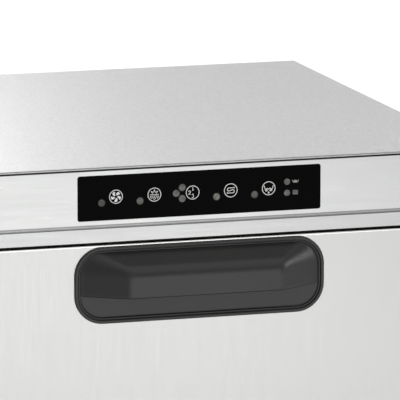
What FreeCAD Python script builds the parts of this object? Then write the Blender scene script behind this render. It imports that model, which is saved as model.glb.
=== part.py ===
import FreeCAD, Part
import math
import os
import re
import Sketcher

# Undercounter dishwasher with a drop-down door, millimetres.
# Origin: centre of the bounding box on the floor, +X to the right, +Y to the rear, +Z up.
# The front faces -Y.

V = FreeCAD.Vector
doc = FreeCAD.newDocument("dishwasher")

# Driving dimensions
SIZES = {
    # casing
    "body_w": 600.0,         # width over the side panels
    "body_d": 610.0,         # door front to rear panel
    "body_h": 820.0,         # floor to the top, feet screwed in
    "casing_t": 1.0,         # casing and liner sheet
    "tray_t": 1.5,           # base tray sheet
    "tray_lip": 28.5,        # upstand of the base tray
    "foot_lift": 40.0,       # floor to the underside of the base tray
    "rim_t": 2.0,            # hemmed rim of the lid
    "rim_w": 12.0,           # width of the hem under the lid
    "lid_gap": 1.4,          # shadow gap under the lid
    "fascia_h": 56.8,        # visible height of the control fascia
    "groove_h": 3.8,         # groove between fascia and strip
    "groove_d": 6.0,         # depth of that groove
    "strip_h": 14.0,         # strip above the door
    "door_gap": 3.1,         # gap between strip and door
    "base_h": 300.0,         # floor to the door's lower edge
    "door_t": 39.0,          # thickness of the door
    "door_side": 2.0,        # door edge inside the casing side
    "front_zone": 46.0,      # front plane to the chamber flange
    "panel_gap": 8.0,        # gap under the door, room for its lower edge to swing
    "kick_in": 12.0,         # setback of the lower panel
    "panel_low": 60.0,       # floor to the lower panel
    "side_flange": 20.0,     # return flanges of the side panels
    "plain_return": 14.0,    # depth of stiffening returns on the front panels
    "strip_back": 4.0,       # fascia's lip above the strip's lower edge
    "vent_w": 40.0,
    "vent_h": 4.0,
    "vent_dx": 60.0,
    "vent_dz": 10.0,
    "vent_drop": 78.0,       # lid to the lowest row of vents
    # control panel
    "overlay_w": 261.7,
    "overlay_h": 47.2,
    "overlay_drop": 8.2,     # machine top to the overlay's upper edge
    "overlay_r": 2.5,
    "overlay_t": 2.4,
    "overlay_inset": 0.2,    # overlay face behind the fascia face
    "overlay_lip": 3.5,      # overlay flange behind the fascia sheet
    "overlay_fit": 0.25,
    "key_mid_x": -7.65,
    "key_pitch": 41.05,
    "key_drop": 31.2,        # machine top to the row of keys
    "key_d": 15.4,
    "key_fit": 0.1,          # radial clearance of a key in the overlay
    "key_lip": 0.4,          # retaining lip of a key behind the overlay
    "key_lip_t": 1.0,
    "key_stem_d": 5.0,
    "key_travel": 0.8,
    "lamp_d": 8.5,
    "lamp_dx": 15.3,         # key centre to its lamp
    "lamp_dz": 5.8,          # lamp below the key row
    "trio_dx": 11.15,        # upper and lower lamp of the middle key
    "trio_side": 17.6,       # outer lamp of the middle key
    "small_lamp_d": 6.8,
    "small_lamp_x": 94.4,
    "lamp_fit": 0.05,
    "board_in": 12.0,        # fascia face to the circuit board
    "board_t": 1.6,
    "board_edge": 6.0,       # circuit board inside the housing
    "post_in": 10.0,         # board posts inside the overlay's ends
    "post_r": 3.0,
    "switch_w": 6.0,
    "switch_h": 3.5,
    "relay_w": 20.0,
    "relay_dx": 45.0,
    "relay_h": 12.0,
    "relay_z": 16.0,
    "housing_d": 32.0,       # fascia face to the back of the housing
    "housing_t": 2.0,
    "switch_gap": 0.1,       # stem to switch when the key is fully in
    "guide_d": 4.0,          # light guides behind the overlay
    "guide_gap": 0.3,        # light guide to the board
    # door
    "skin_t": 1.0,
    "inner_fit": 0.2,        # inner skin inside the outer skin
    "field_in": 20.0,        # pressed field inside the mouth
    "field_up": 30.0,
    "field_d": 3.0,
    "catch_x": 90.0,
    "catch_w": 32.0,
    "pin_in": 14.0,          # door front to the hinge axis
    "pin_up": 12.0,          # door lower edge to the hinge axis
    "pin_d": 8.0,
    "pin_fit": 0.05,
    "eye_d": 18.0,
    "bracket_t": 6.0,
    "bracket_x": 285.0,      # middle plane of each hinge bracket
    "bracket_h": 12.0,
    "bracket_play": 2.0,     # each side of the bracket, in the hinge arm
    "foot_plate_w": 14.0,    # bracket's foot on the chamber flange
    "foot_plate_t": 2.5,
    "arm_t": 2.5,
    "arm_h": 70.0,
    "arm_reach": 16.0,       # hinge axis to the rear edge of the arm's cheeks
    "pin_end": 1.0,
    "spring_d": 18.0,
    "spring_wire": 3.0,
    "spring_turns": 4.0,
    # handle
    "handle_w": 269.0,
    "handle_h": 80.2,
    "handle_drop": 82.9,     # machine top to the handle's upper edge
    "handle_r": 27.5,
    "handle_out": 27.0,      # how far the hood stands proud of the door
    "rim_out": 3.0,
    "bead_w": 3.8,
    "rim_lap": 2.0,          # rim over the edge of the door skin
    "tub_in": 4.0,           # tub face behind the door face
    "tub_t": 2.5,
    "tub_fit": 0.2,
    "hood_wall": 3.0,
    "hood_half": 127.0,      # half width of the hood at the door face
    "hood_top": 88.4,        # machine top to the hood's root
    "hood_low": 133.0,       # machine top to the hood's lower edge
    "hood_front_half": 81.0,
    "hood_front_top": 105.7,
    "hood_corner": 18.0,
    "hood_edge": 8.0,
    # wash chamber
    "mouth_w": 510.0,
    "mouth_up": 45.0,        # door lower edge to the sill
    "mouth_drop": 24.0,      # door upper edge to the mouth
    "room_w": 524.0,
    "room_d": 518.0,
    "room_sink": 5.0,        # chamber floor below the door's lower edge
    "room_rise": 10.0,       # ceiling above the mouth
    "room_r": 18.0,
    "flange_in": 8.0,        # chamber flange inside the casing side
    "flange_down": 7.0,      # flange below the lower panel's upper edge
    "flange_lap": 3.0,       # flange above the strip's lower edge
    "seal_gap": 0.3,         # gasket to the closed door
    "seal_w": 12.0,
    "seal_off": 2.0,         # gasket outside the mouth
    "tank_w": 400.0,
    "tank_len": 400.0,
    "tank_deep": 84.0,
    "tank_lip": 15.0,
    "tank_r": 25.0,
    "filter_t": 1.2,
    "filter_lap": 9.0,       # filter on the chamber floor beyond the tank
    "filter_gap": 0.5,       # each filter to the middle of the tank
    "rail_up": 77.0,         # chamber floor to the top of the rack rails
    "rail_w": 22.0,
    "rail_t": 1.5,
    "rail_leg": 20.0,
    "rail_end": 13.0,
    # basket
    "basket_w": 500.0,
    "basket_h": 105.0,
    "basket_front": 8.0,     # chamber flange front face to the basket
    "basket_gap": 0.3,       # basket above the rails
    "basket_wall": 4.0,
    "basket_r": 14.0,
    "cell_pitch": 48.8,
    "cell_open": 43.0,
    "window_h": 33.0,
    "window_low": 14.0,
    "window_pitch": 41.0,
    # wash system
    "post_d": 34.0,
    "post_fit": 0.1,         # hubs in the chamber's and the tank's holes
    "spindle_d": 20.0,
    "rinse_d": 14.0,
    "arm_gap": 0.3,
    "spin_fit": 0.05,
    "stage_up": 21.0,        # chamber floor to the lower wash arm
    "stage_down": 21.0,      # ceiling to the upper wash arm
    "wash_len": 470.0,
    "wash_w": 42.0,
    "wash_tip": 26.0,
    "wash_thick": 16.0,
    "wash_wall": 1.0,
    "rinse_len": 440.0,
    "rinse_tube": 12.0,
    "rinse_wall": 1.2,
    "jet_d": 5.0,
    "jet_pitch": 34.0,
    "neck_wall": 2.5,
    "cap_d": 72.0,           # ceiling hole for the upper hub
    "cap_up": 9.0,           # upper hub above the ceiling
    "cap_lip": 8.0,
    "collar_w": 10.0,        # collar of the lower hub on the tank floor
    "collar_t": 3.0,
    "nut_t": 5.0,
    "nut_d": 24.0,
    "pipe_d": 30.0,
    "pipe_wall": 1.5,
    "pump_drop": 84.0,       # underside of the tank to the pump's axis
    "pump_in": 34.0,         # front end of the tank to the pump's axis
    "volute_d": 124.0,
    "volute_w": 54.0,
    "volute_t": 4.0,
    "inlet_len": 18.0,
    "spigot_len": 76.0,
    "motor_d": 110.0,
    "motor_len": 165.0,
    "fin_h": 6.0,
    "fin_t": 3.0,
    "fin_dx": 9.0,
    "hose_d": 40.0,
    "hose_t": 3.0,
    "hose_x": -110.0,
    "boiler_d": 150.0,
    "boiler_len": 370.0,
    "boiler_x": 180.0,
    "boiler_gap": 4.0,       # boiler to the underside of the tank
    "boiler_clear": 1.0,     # pump motor to the cap of the boiler's heater
    "boiler_t": 1.5,
    "saddle_t": 18.0,
    "saddle_w": 90.0,
    "saddle_in": 40.0,       # boiler's ends to its saddles
    "spigot_in": 30.0,       # boiler's rear end to its spigot
    "spigot_up": 4.0,
    "rod_d": 8.0,            # heater rods
    "rods_apart": 14.0,
    "rods_len": 250.0,
    "tank_rods_len": 205.0,
    "tank_rods_w": 30.0,
    "heater_x": 115.0,
    "heater_up": 40.0,       # tank floor to the tank's heater
    "heater_port_d": 52.0,
    "heater_lap": 8.0,
    "heater_flange_t": 4.0,
    "heater_cap_h": 20.0,
    "rinse_pipe_d": 12.0,
    "drain_x": -110.0,
    "well_dy": 80.0,         # hub to the drain, and to the strainer
    "drain_pump_d": 76.0,
    "drain_pump_h": 110.0,
    "outlet_d": 22.0,
    "stand_d": 40.0,         # overflow standpipe
    "stand_t": 2.0,
    "stand_grip": 4.0,
    "strainer_x": 110.0,
    "strainer_d": 110.0,
    "strainer_deep": 46.0,
    # rear connections
    "niche_w": 220.0,
    "niche_x": -140.0,
    "niche_low": 75.0,
    "niche_high": 190.0,
    "niche_d": 43.0,
    "port_dx": 70.0,         # recess centre to the inlet, and to the gland
    "port_up": 55.0,         # recess floor to the inlet and the gland
    "tail_up": 35.0,         # recess floor to the drain tail
    "port_fit": 0.5,
    "inlet_d": 27.0,
    "inlet_bore": 19.0,
    "inlet_out": 24.0,
    "tail_d": 23.0,
    "tail_bore": 18.0,
    "tail_out": 36.0,
    "port_collar": 5.0,
    "port_collar_t": 4.0,
    "gland_d": 18.0,
    "gland_bore": 10.0,
    "gland_out": 24.0,
    "pumps_in": 25.0,        # casing side to the dosing pumps
    "pumps_back": 45.0,      # line of the front feet to the detergent pump
    "pumps_w": 50.0,
    "pumps_h": 74.0,
    "way_dx": 13.0,          # pitch of the mains terminals
    "way_len": 36.0,
    # feet
    "foot_x": 262.0,
    "foot_front": 75.0,      # door front to the front feet
    "foot_rear": 40.0,       # rear panel to the rear feet
    "foot_pad_d": 42.0,
    "foot_stem_d": 10.0,
    "foot_top": 84.0,
    "foot_pad_h": 5.0,
    "foot_neck_h": 12.0,
    "foot_land_h": 24.0,
    "foot_fit": 0.05,
    "boss_d": 22.0,
    "boss_h": 30.0,
    "screw_d": 7.0,
    "screw_head": 2.2,
    "screw_in": 30.0,        # casing side to the front screws
    "screw_up": 18.0,        # panel's edges to the front screws
    "rear_screw_in": 35.0,
    "rear_screw_up": 25.0,
}

# Places worked out from the driving dimensions
PLACES = {
    "front": "(handle_out - body_d) / 2",
    "rear": "(handle_out + body_d) / 2",
    "side": "body_w / 2",
    "inside": "side - casing_t",
    "lid_z": "body_h - rim_t",
    "fascia_top": "lid_z - lid_gap",
    "fascia_low": "fascia_top - fascia_h",
    "strip_top": "fascia_low - groove_h",
    "strip_low": "strip_top - strip_h",
    "door_top": "strip_low - door_gap",
    "door_low": "base_h",
    "door_half": "side - door_side",
    "door_back": "front + door_t",
    "panel_top": "door_low - panel_gap",
    "flange_y": "front + front_zone",
    "wall_y": "flange_y + casing_t",
    "tray_z": "foot_lift + tray_t",
    "pin_y": "front + pin_in",
    "pin_z": "door_low + pin_up",
    "mouth_low": "door_low + mouth_up",
    "mouth_top": "door_top - mouth_drop",
    "room_floor": "door_low - room_sink",
    "room_top": "mouth_top + room_rise",
    "room_back": "wall_y + room_d",
    "centre_y": "wall_y + room_d / 2",
    "tank_floor": "room_floor - casing_t - tank_deep",
    "tank_under": "tank_floor - casing_t",
    "rail_z": "room_floor + rail_up",
    "basket_z": "rail_z + basket_gap",
    "basket_y": "flange_y + basket_front",
    "key_z": "body_h - key_drop",
    "overlay_y": "front + overlay_inset",
    "overlay_back": "overlay_y + overlay_t",
    "overlay_top": "body_h - overlay_drop",
    "overlay_low": "overlay_top - overlay_h",
    "board_y": "front + board_in",
    "handle_top": "body_h - handle_drop",
    "handle_low": "handle_top - handle_h",
    "handle_half": "handle_w / 2",
    "pump_line": "centre_y - tank_len / 2 + pump_in",
    "dosing_line": "front + foot_front + pumps_back",
    "pump_z": "tank_under - pump_drop",
    "delivery_z": "pump_z + volute_d / 2 - pipe_d / 2 - 2 * collar_t",
    "branch_top": "delivery_z + pipe_d / 2 + 2 * collar_t",
    "boiler_z": "tank_under - boiler_gap - boiler_d / 2",
    "boiler_start": "pump_line + motor_d / 2 + boiler_clear + heater_cap_h + heater_flange_t",
    "boiler_spigot": "boiler_start + boiler_len - spigot_in",
    "heater_z": "tank_floor + heater_up",
    "gap_y": "(room_back + casing_t + rear - casing_t * 2) / 2",
    "hub_z": "room_top + casing_t + cap_up",
    "drain_line": "centre_y + well_dy",
    "strainer_line": "centre_y - well_dy",
    "niche_y": "rear - 2 * casing_t - niche_d",
    "inlet_x": "niche_x - port_dx",
    "gland_x": "niche_x + port_dx",
    "port_z": "niche_low + port_up",
    "tail_z": "niche_low + tail_up",
    "panel_face": "front + kick_in",
    "switch_face": "board_in - overlay_inset - switch_h - key_travel - switch_gap",
    "spring_len": "spring_turns * spring_wire * 1.1",
    "cheek": "bracket_t / 2 + bracket_play",
}

sheet = doc.addObject("Spreadsheet::Sheet", "sizes")
for row, (alias, number) in enumerate(SIZES.items(), start=1):
    sheet.set(f"A{row}", alias)
    sheet.set(f"B{row}", str(number))
    sheet.setAlias(f"B{row}", alias)
doc.recompute()


def full(text):
    """An expression over the sheet, from one written in the names above."""

    def word(match):
        name = match.group(0)
        if name in PLACES:
            return "(" + full(PLACES[name]) + ")"
        return "sizes." + name if name in SIZES else name

    return re.sub(r"[a-z][a-z_0-9]*", word, str(text))


def number(text):
    return float(sheet.evalExpression(full(text)))


def bind(obj, **texts):
    """Bind properties of an object to expressions; x, y and z are its place."""
    for name, text in texts.items():
        target = f".Placement.Base.{name}" if name in "xyz" else name
        obj.setExpression(target, full(text))
    return obj


# Primitives

TURNS = {
    "x": FreeCAD.Rotation(V(0, 1, 0), 90),
    "-x": FreeCAD.Rotation(V(0, 1, 0), -90),
    "y": FreeCAD.Rotation(V(1, 0, 0), -90),
    "-y": FreeCAD.Rotation(V(1, 0, 0), 90),
    "z": FreeCAD.Rotation(),
    "-z": FreeCAD.Rotation(V(1, 0, 0), 180),
}


def block(name, x, y, z):
    """A box between three pairs of places."""
    obj = doc.addObject("Part::Box", name)
    for side, (low, high) in zip(("Length", "Width", "Height"), (x, y, z)):
        obj.setExpression(side, full(f"({high}) - ({low})"))
    return bind(obj, x=x[0], y=y[0], z=z[0])


def rod(name, axis, at, radius, length):
    """A cylinder that starts at a place and runs along an axis."""
    obj = doc.addObject("Part::Cylinder", name)
    obj.Placement = FreeCAD.Placement(V(), TURNS[axis])
    return bind(obj, Radius=radius, Height=length, x=at[0], y=at[1], z=at[2])


def group(kind, name, shapes):
    obj = doc.addObject(kind, name)
    if kind == "Part::Compound":
        obj.Links = shapes
    else:
        obj.Shapes = shapes
        obj.Refine = True
    return obj


def fuse(name, *shapes):
    return group("Part::MultiFuse", name, list(shapes))


def together(name, *shapes):
    """Separate solids that share one node."""
    return group("Part::Compound", name, list(shapes))


def cut(name, base, *tools):
    obj = doc.addObject("Part::Cut", name)
    obj.Base = base
    obj.Tool = tools[0] if len(tools) == 1 else group("Part::Compound", name + "_tools", list(tools))
    obj.Refine = True
    return obj


# Sketched bodies

NORMALS = {"XY": 1, "XZ": -1, "YZ": 1}   # side of the plane to which a pad grows


def body(name):
    return doc.addObject("PartDesign::Body", name)


def origin(piece, role):
    return next(part for part in piece.Origin.OriginFeatures if part.Role == role)


def rect(a, b):
    """Corners of a rectangle from a pair of places along each sketch axis."""
    return [(a[0], b[0]), (a[1], b[0]), (a[1], b[1]), (a[0], b[1])]


def rounded(a, b, radius):
    """A rectangle with round corners; the corners' ends in order, and the radius."""
    (a0, a1), (b0, b1) = a, b
    ends = [
        (f"{a0} + ({radius})", b0), (f"{a1} - ({radius})", b0), (a1, f"{b0} + ({radius})"),
        (a1, f"{b1} - ({radius})"), (f"{a1} - ({radius})", b1), (f"{a0} + ({radius})", b1),
        (a0, f"{b1} - ({radius})"), (a0, f"{b0} + ({radius})"),
    ]
    return {"ends": ends, "radius": radius}


def quarter(start, end, radius):
    """Quarter circle that turns left from one point to another."""
    chord = end - start
    left = V(-chord.y, chord.x, 0)
    centre = (start + end + left) * 0.5
    first = math.atan2(start.y - centre.y, start.x - centre.x)
    return Part.ArcOfCircle(Part.Circle(centre, V(0, 0, 1), radius), first, first + math.pi / 2)


def sketch(piece, plane, level, loops, shift="0"):
    """A fully bound sketch parallel to an origin plane.

    A list is a polygon, a tuple is a circle, and a dictionary is a rounded rectangle.
    """
    made = piece.newObject("Sketcher::SketchObject", piece.Name + "_outline")
    made.AttachmentSupport = [(origin(piece, plane + "_Plane"), "")]
    made.MapMode = "FlatFace"
    made.setExpression(".AttachmentOffset.Base.z", full(f"{NORMALS[plane]} * ({level})"))
    made.setExpression(".AttachmentOffset.Base.x", full(shift))

    def hold(kind, text, *where):
        index = made.addConstraint(Sketcher.Constraint(kind, *where, number(text)))
        made.setExpression(f"Constraints[{index}]", full(text))

    for loop in loops:
        if isinstance(loop, tuple):
            a, b, radius = loop
            circle = Part.Circle(V(number(a), number(b), 0), V(0, 0, 1), number(radius))
            edge = made.addGeometry(circle, False)
            hold("DistanceX", a, -1, 1, edge, 3)
            hold("DistanceY", b, -1, 1, edge, 3)
            hold("Radius", radius, edge)
            continue
        curved = isinstance(loop, dict)
        corners = loop["ends"] if curved else loop
        points = [V(number(a), number(b), 0) for a, b in corners]
        first = made.GeometryCount
        for step, (start, end) in enumerate(zip(points, points[1:] + points[:1])):
            if curved and step % 2:
                made.addGeometry(quarter(start, end, number(loop["radius"])), False)
            else:
                made.addGeometry(Part.LineSegment(start, end), False)
        for step, (a, b) in enumerate(corners):
            following = first + (step + 1) % len(corners)
            made.addConstraint(Sketcher.Constraint("Coincident", first + step, 2, following, 1))
            if curved and step % 2:
                hold("Radius", loop["radius"], first + step)
            hold("DistanceX", a, -1, 1, first + step, 1)
            hold("DistanceY", b, -1, 1, first + step, 1)
    return made


def extrude(kind, piece, plane, start, end, loops):
    made = piece.newObject(kind, piece.Name + "_" + kind.split("::")[1].lower())
    made.Profile = sketch(piece, plane, start, loops)
    rising = number(end) > number(start)
    made.setExpression("Length", full(f"({end}) - ({start})" if rising else f"({start}) - ({end})"))
    along_normal = rising == (NORMALS[plane] > 0)
    made.Reversed = along_normal == (kind == "PartDesign::Pocket")
    piece.Tip = made
    return made


def slab(piece, plane, start, end, *loops):
    """Material between two levels of a plane."""
    return extrude("PartDesign::Pad", piece, plane, start, end, loops)


def carve(piece, plane, start, end, *loops):
    """An opening from one level of a plane to another."""
    return extrude("PartDesign::Pocket", piece, plane, start, end, loops)


def spin(piece, loop, at=("0", "0")):
    """Material turned about a vertical axis; the loop holds radius and height."""
    made = piece.newObject("PartDesign::Revolution", piece.Name + "_turned")
    profile = sketch(piece, "XZ", at[1], [loop], shift=at[0])
    made.Profile = profile
    made.ReferenceAxis = (profile, ["V_Axis"])
    made.Angle = 360
    piece.Tip = made
    return made


def turned(name, axis, at, loop):
    """A turned piece whose own Z axis lies along an axis of the machine."""
    piece = body(name)
    spin(piece, loop)
    piece.Placement = FreeCAD.Placement(V(), TURNS[axis])
    return bind(piece, x=at[0], y=at[1], z=at[2])


def ease(piece, radius, wanted):
    """Round the edges of a body that a test picks by their middle and direction."""
    doc.recompute()
    base = piece.Tip
    picked = []
    for index, edge in enumerate(base.Shape.Edges, start=1):
        middle = (edge.FirstParameter + edge.LastParameter) / 2
        if wanted(edge.valueAt(middle), edge.tangentAt(middle), edge):
            picked.append(f"Edge{index}")
    made = piece.newObject("PartDesign::Fillet", piece.Name + "_fillet")
    made.Base = (base, picked)
    made.setExpression("Radius", full(radius))
    piece.Tip = made
    return made


def repeat(piece, feature, *steps):
    """Repeat a feature along one or two axes; each step is an axis, a pitch and a count."""
    made = piece.newObject("PartDesign::MultiTransform", piece.Name + "_rows")
    made.Originals = [feature]
    patterns = []
    for axis, pitch, count in steps:
        pattern = doc.addObject("PartDesign::LinearPattern", piece.Name + "_row")
        piece.addObject(pattern)
        pattern.Direction = (origin(piece, axis + "_Axis"), [""])
        pattern.setExpression("Length", full(f"({pitch}) * {count - 1}"))
        pattern.Occurrences = count
        patterns.append(pattern)
    made.Transformations = patterns
    piece.Tip = made
    return made


def spot(x, y, z):
    return V(number(x), number(y), number(z))


def pipe_path(points, bends):
    """Straight runs joined by tangent arcs, with each corner's own radius."""
    edges = []
    start = points[0]
    for before, corner, after, radius in zip(points, points[1:], points[2:], bends):
        back = (before - corner).normalize()
        forth = (after - corner).normalize()
        half = back.getAngle(forth) / 2
        bisector = (back + forth).normalize()
        centre = corner + bisector * (radius / math.sin(half))
        first = corner + back * (radius / math.tan(half))
        last = corner + forth * (radius / math.tan(half))
        edges.append(Part.LineSegment(start, first).toShape())
        edges.append(Part.Arc(first, centre - bisector * radius, last).toShape())
        start = last
    edges.append(Part.LineSegment(start, points[-1]).toShape())
    return Part.Wire(edges)


def swept(path, points, radius):
    ring = Part.Circle(points[0], points[1] - points[0], radius).toShape()
    return path.makePipeShell([Part.Wire([ring])], True, False)


def tube(name, places, bends, diameter, wall="0"):
    """A bent tube, or a bent rod where no wall is given."""
    points = [spot(*place) for place in places]
    path = pipe_path(points, [number(bend) for bend in bends])
    shape = swept(path, points, number(diameter) / 2)
    if number(wall) > 0:
        shape = shape.cut(swept(path, points, number(diameter) / 2 - number(wall)))
    obj = doc.addObject("Part::Feature", name)
    obj.Shape = shape
    return obj


# Casing


def base_tray():
    """Floor of the machine: a folded tray with bosses for the feet."""
    tray = body("tray_sheet")
    outer = rect(("-inside", "inside"), ("wall_y + casing_t", "rear - 2 * casing_t"))
    inner = rect(("-inside + tray_t", "inside - tray_t"),
                 ("wall_y + casing_t + tray_t", "rear - 2 * casing_t - tray_t"))
    slab(tray, "XY", "foot_lift", "tray_z + tray_lip", outer)
    carve(tray, "XY", "tray_z + tray_lip", "tray_z", inner)
    bosses = []
    stems = []
    for name, x, y in foot_places():
        bosses.append(rod("boss_" + name, "z", (x, y, "tray_z"), "boss_d / 2", "boss_h"))
        stems.append(rod("bore_" + name, "z", (x, y, "0"), "foot_stem_d / 2 + foot_fit", "tray_z + boss_h"))
    return cut("base_tray", fuse("tray_and_bosses", tray, *bosses), *stems)


def foot_places():
    front_row = "front + foot_front"
    rear_row = "rear - foot_rear"
    return [
        ("front_left", "-foot_x", front_row),
        ("front_right", "foot_x", front_row),
        ("rear_left", "-foot_x", rear_row),
        ("rear_right", "foot_x", rear_row),
    ]


def feet():
    """Levelling feet: a pad, a hexagon land and a threaded stem."""
    made = []
    for name, x, y in foot_places():
        outline = [
            ("0", "0"), ("foot_pad_d / 2", "0"), ("foot_pad_d / 2", "foot_pad_h"),
            ("foot_pad_d * 0.345", "foot_neck_h"), ("foot_pad_d / 4", "foot_land_h"),
            ("foot_stem_d / 2", "foot_land_h"), ("foot_stem_d / 2", "foot_top - foot_stem_d / 10"),
            ("foot_stem_d * 0.4", "foot_top"), ("0", "foot_top"),
        ]
        made.append(turned("foot_" + name, "z", (x, y, "0"), outline))
    return made


def side_panel(name, hand):
    """Side sheet with a return flange at the front and at the rear."""
    panel = body(name)
    outline = [
        ("side", "wall_y"), ("side", "rear"), ("side - side_flange", "rear"),
        ("side - side_flange", "rear - casing_t"), ("inside", "rear - casing_t"),
        ("inside", "wall_y + casing_t"), ("side - side_flange", "wall_y + casing_t"),
        ("side - side_flange", "wall_y"),
    ]
    slab(panel, "XY", "foot_lift", "lid_z", [(f"{hand} * ({x})", y) for x, y in outline])
    return panel


def rear_panel():
    """Rear sheet with a notch for the connections and two fields of vent slots."""
    panel = body("rear_panel")
    slab(panel, "XZ", "rear - 2 * casing_t", "rear - casing_t",
         rect(("-inside + casing_t / 4", "inside - casing_t / 4"), ("tray_z + casing_t", "lid_z - casing_t")))
    niche = ("niche_x - niche_w / 2", "niche_x + niche_w / 2")
    carve(panel, "XZ", "rear - 2 * casing_t", "rear - casing_t", rect(niche, ("niche_low", "niche_high")))
    slot = carve(panel, "XZ", "rear - 2 * casing_t", "rear - casing_t",
                 rect(("-3 * vent_dx - vent_w / 2", "-3 * vent_dx + vent_w / 2"),
                      ("lid_z - vent_drop - vent_h / 2", "lid_z - vent_drop + vent_h / 2")))
    repeat(panel, slot, ("X", "vent_dx", 7), ("Z", "vent_dz", 3))
    return panel


def connection_niche():
    """Recess in the rear for the water, drain and power connections."""
    niche = body("connection_niche")
    x = ("niche_x - niche_w / 2", "niche_x + niche_w / 2")
    z = ("niche_low", "niche_high")
    slab(niche, "XZ", "niche_y", "rear - 2 * casing_t", rect(x, z))
    carve(niche, "XZ", "rear - 2 * casing_t", "niche_y + casing_t",
          rect((x[0] + " + casing_t", x[1] + " - casing_t"), (z[0] + " + casing_t", z[1] + " - casing_t")))
    carve(niche, "XZ", "niche_y + casing_t", "niche_y",
          ("inlet_x", "port_z", "inlet_d / 2 + port_fit"), ("niche_x", "tail_z", "tail_d / 2 + port_fit"),
          ("gland_x", "port_z", "gland_d / 2"))
    return niche


def top_panel():
    """Flat stainless lid with a hemmed rim."""
    lid = body("top_panel")
    slab(lid, "XY", "lid_z", "body_h", rounded(("-side", "side"), ("front", "rear"), "rim_w / 4"))
    ease(lid, "rim_t * 0.35", lambda middle, way, edge: middle.z > number("body_h") - 0.01)
    carve(lid, "XY", "lid_z", "body_h - casing_t",
          rect(("-side + rim_w", "side - rim_w"), ("front + rim_w", "rear - rim_w")))
    return lid


def control_fascia():
    """Front sheet of the control panel, folded at all four edges, with the overlay's cut-out."""
    fascia = body("control_fascia")
    lip_y = "front + groove_d"
    profile = [
        ("front", "fascia_low"), (lip_y, "fascia_low"), (lip_y, "strip_low + strip_back"),
        (lip_y + " + casing_t", "strip_low + strip_back"), (lip_y + " + casing_t", "fascia_low + casing_t"),
        ("front + casing_t", "fascia_low + casing_t"), ("front + casing_t", "fascia_top - casing_t"),
        ("front + plain_return", "fascia_top - casing_t"), ("front + plain_return", "fascia_top"),
        ("front", "fascia_top"),
    ]
    slab(fascia, "YZ", "-inside", "inside", profile)
    cheek = rect(("front", "wall_y"), ("fascia_low", "fascia_top"))
    slab(fascia, "YZ", "inside", "side", cheek)
    slab(fascia, "YZ", "-side", "-inside", cheek)
    opening = rounded(("-overlay_w / 2", "overlay_w / 2"), ("overlay_low", "overlay_top"), "overlay_r")
    carve(fascia, "XZ", "front", "front + casing_t", opening)
    return fascia


def front_strip():
    """Strip above the door; its lower return reaches back to the chamber flange."""
    strip = body("front_strip")
    profile = [
        ("front", "strip_low"), ("flange_y", "strip_low"), ("flange_y", "strip_low + casing_t"),
        ("front + casing_t", "strip_low + casing_t"), ("front + casing_t", "strip_top - casing_t"),
        ("front + groove_d", "strip_top - casing_t"), ("front + groove_d", "strip_top"),
        ("front", "strip_top"),
    ]
    slab(strip, "YZ", "-inside", "inside", profile)
    cheek = rect(("front", "wall_y"), ("strip_low", "strip_top"))
    slab(strip, "YZ", "inside", "side", cheek)
    slab(strip, "YZ", "-side", "-inside", cheek)
    return strip


def lower_panel():
    """Service panel under the door, set back from it."""
    panel = body("lower_front_panel")
    profile = [
        ("panel_face", "panel_low"), ("panel_face + plain_return", "panel_low"),
        ("panel_face + plain_return", "panel_low + casing_t"), ("panel_face + casing_t", "panel_low + casing_t"),
        ("panel_face + casing_t", "panel_top - casing_t"), ("flange_y", "panel_top - casing_t"),
        ("flange_y", "panel_top"), ("panel_face", "panel_top"),
    ]
    slab(panel, "YZ", "-inside", "inside", profile)
    cheek = rect(("panel_face", "wall_y"), ("panel_low", "panel_top"))
    slab(panel, "YZ", "inside", "side", cheek)
    slab(panel, "YZ", "-side", "-inside", cheek)
    return panel


def casing_screws():
    """Dome-head screws of the lower panel and of the rear panel."""
    spots = [(x, "panel_face", z, "-y") for x in ("-side + screw_in", "side - screw_in")
             for z in ("panel_low + screw_up", "panel_top - screw_up")]
    spots += [(x, "rear - casing_t", z, "y") for x in ("-side + rear_screw_in", "side - rear_screw_in")
              for z in ("lid_z - rear_screw_up", "(lid_z + niche_high) / 2", "niche_high + rear_screw_up")]
    made = []
    for index, (x, y, z, axis) in enumerate(spots):
        head = [("0", "0"), ("screw_d / 2", "0"), ("screw_d * 0.457", "screw_head * 0.5"),
                ("screw_d / 4", "screw_head * 0.93"), ("0", "screw_head")]
        if axis == "y":
            head = [(a, f"({b}) * 0.4") for a, b in head]
        made.append(turned(f"screw_{index}", axis, (x, y, z), head))
    return together("casing_screws", *made)


# Controls


def key_places():
    """Names and places of the five keys, left to right."""
    return [(f"key_cap_{step + 1}", f"key_mid_x + {step - 2} * key_pitch") for step in range(5)]


def lamp_places():
    """Places and diameters of the nine indicator lamps."""
    keys = [x for name, x in key_places()]
    lamps = [(f"{keys[step]} - lamp_dx", "key_z - lamp_dz", "lamp_d") for step in (0, 1, 3, 4)]
    lamps += [(f"{keys[2]} - trio_dx", f"key_z {sign} lamp_dz", "lamp_d") for sign in "+-"]
    lamps += [(f"{keys[2]} - trio_side", "key_z", "lamp_d")]
    lamps += [("small_lamp_x", f"key_z {sign} lamp_dz", "small_lamp_d") for sign in "+-"]
    return lamps


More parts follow.
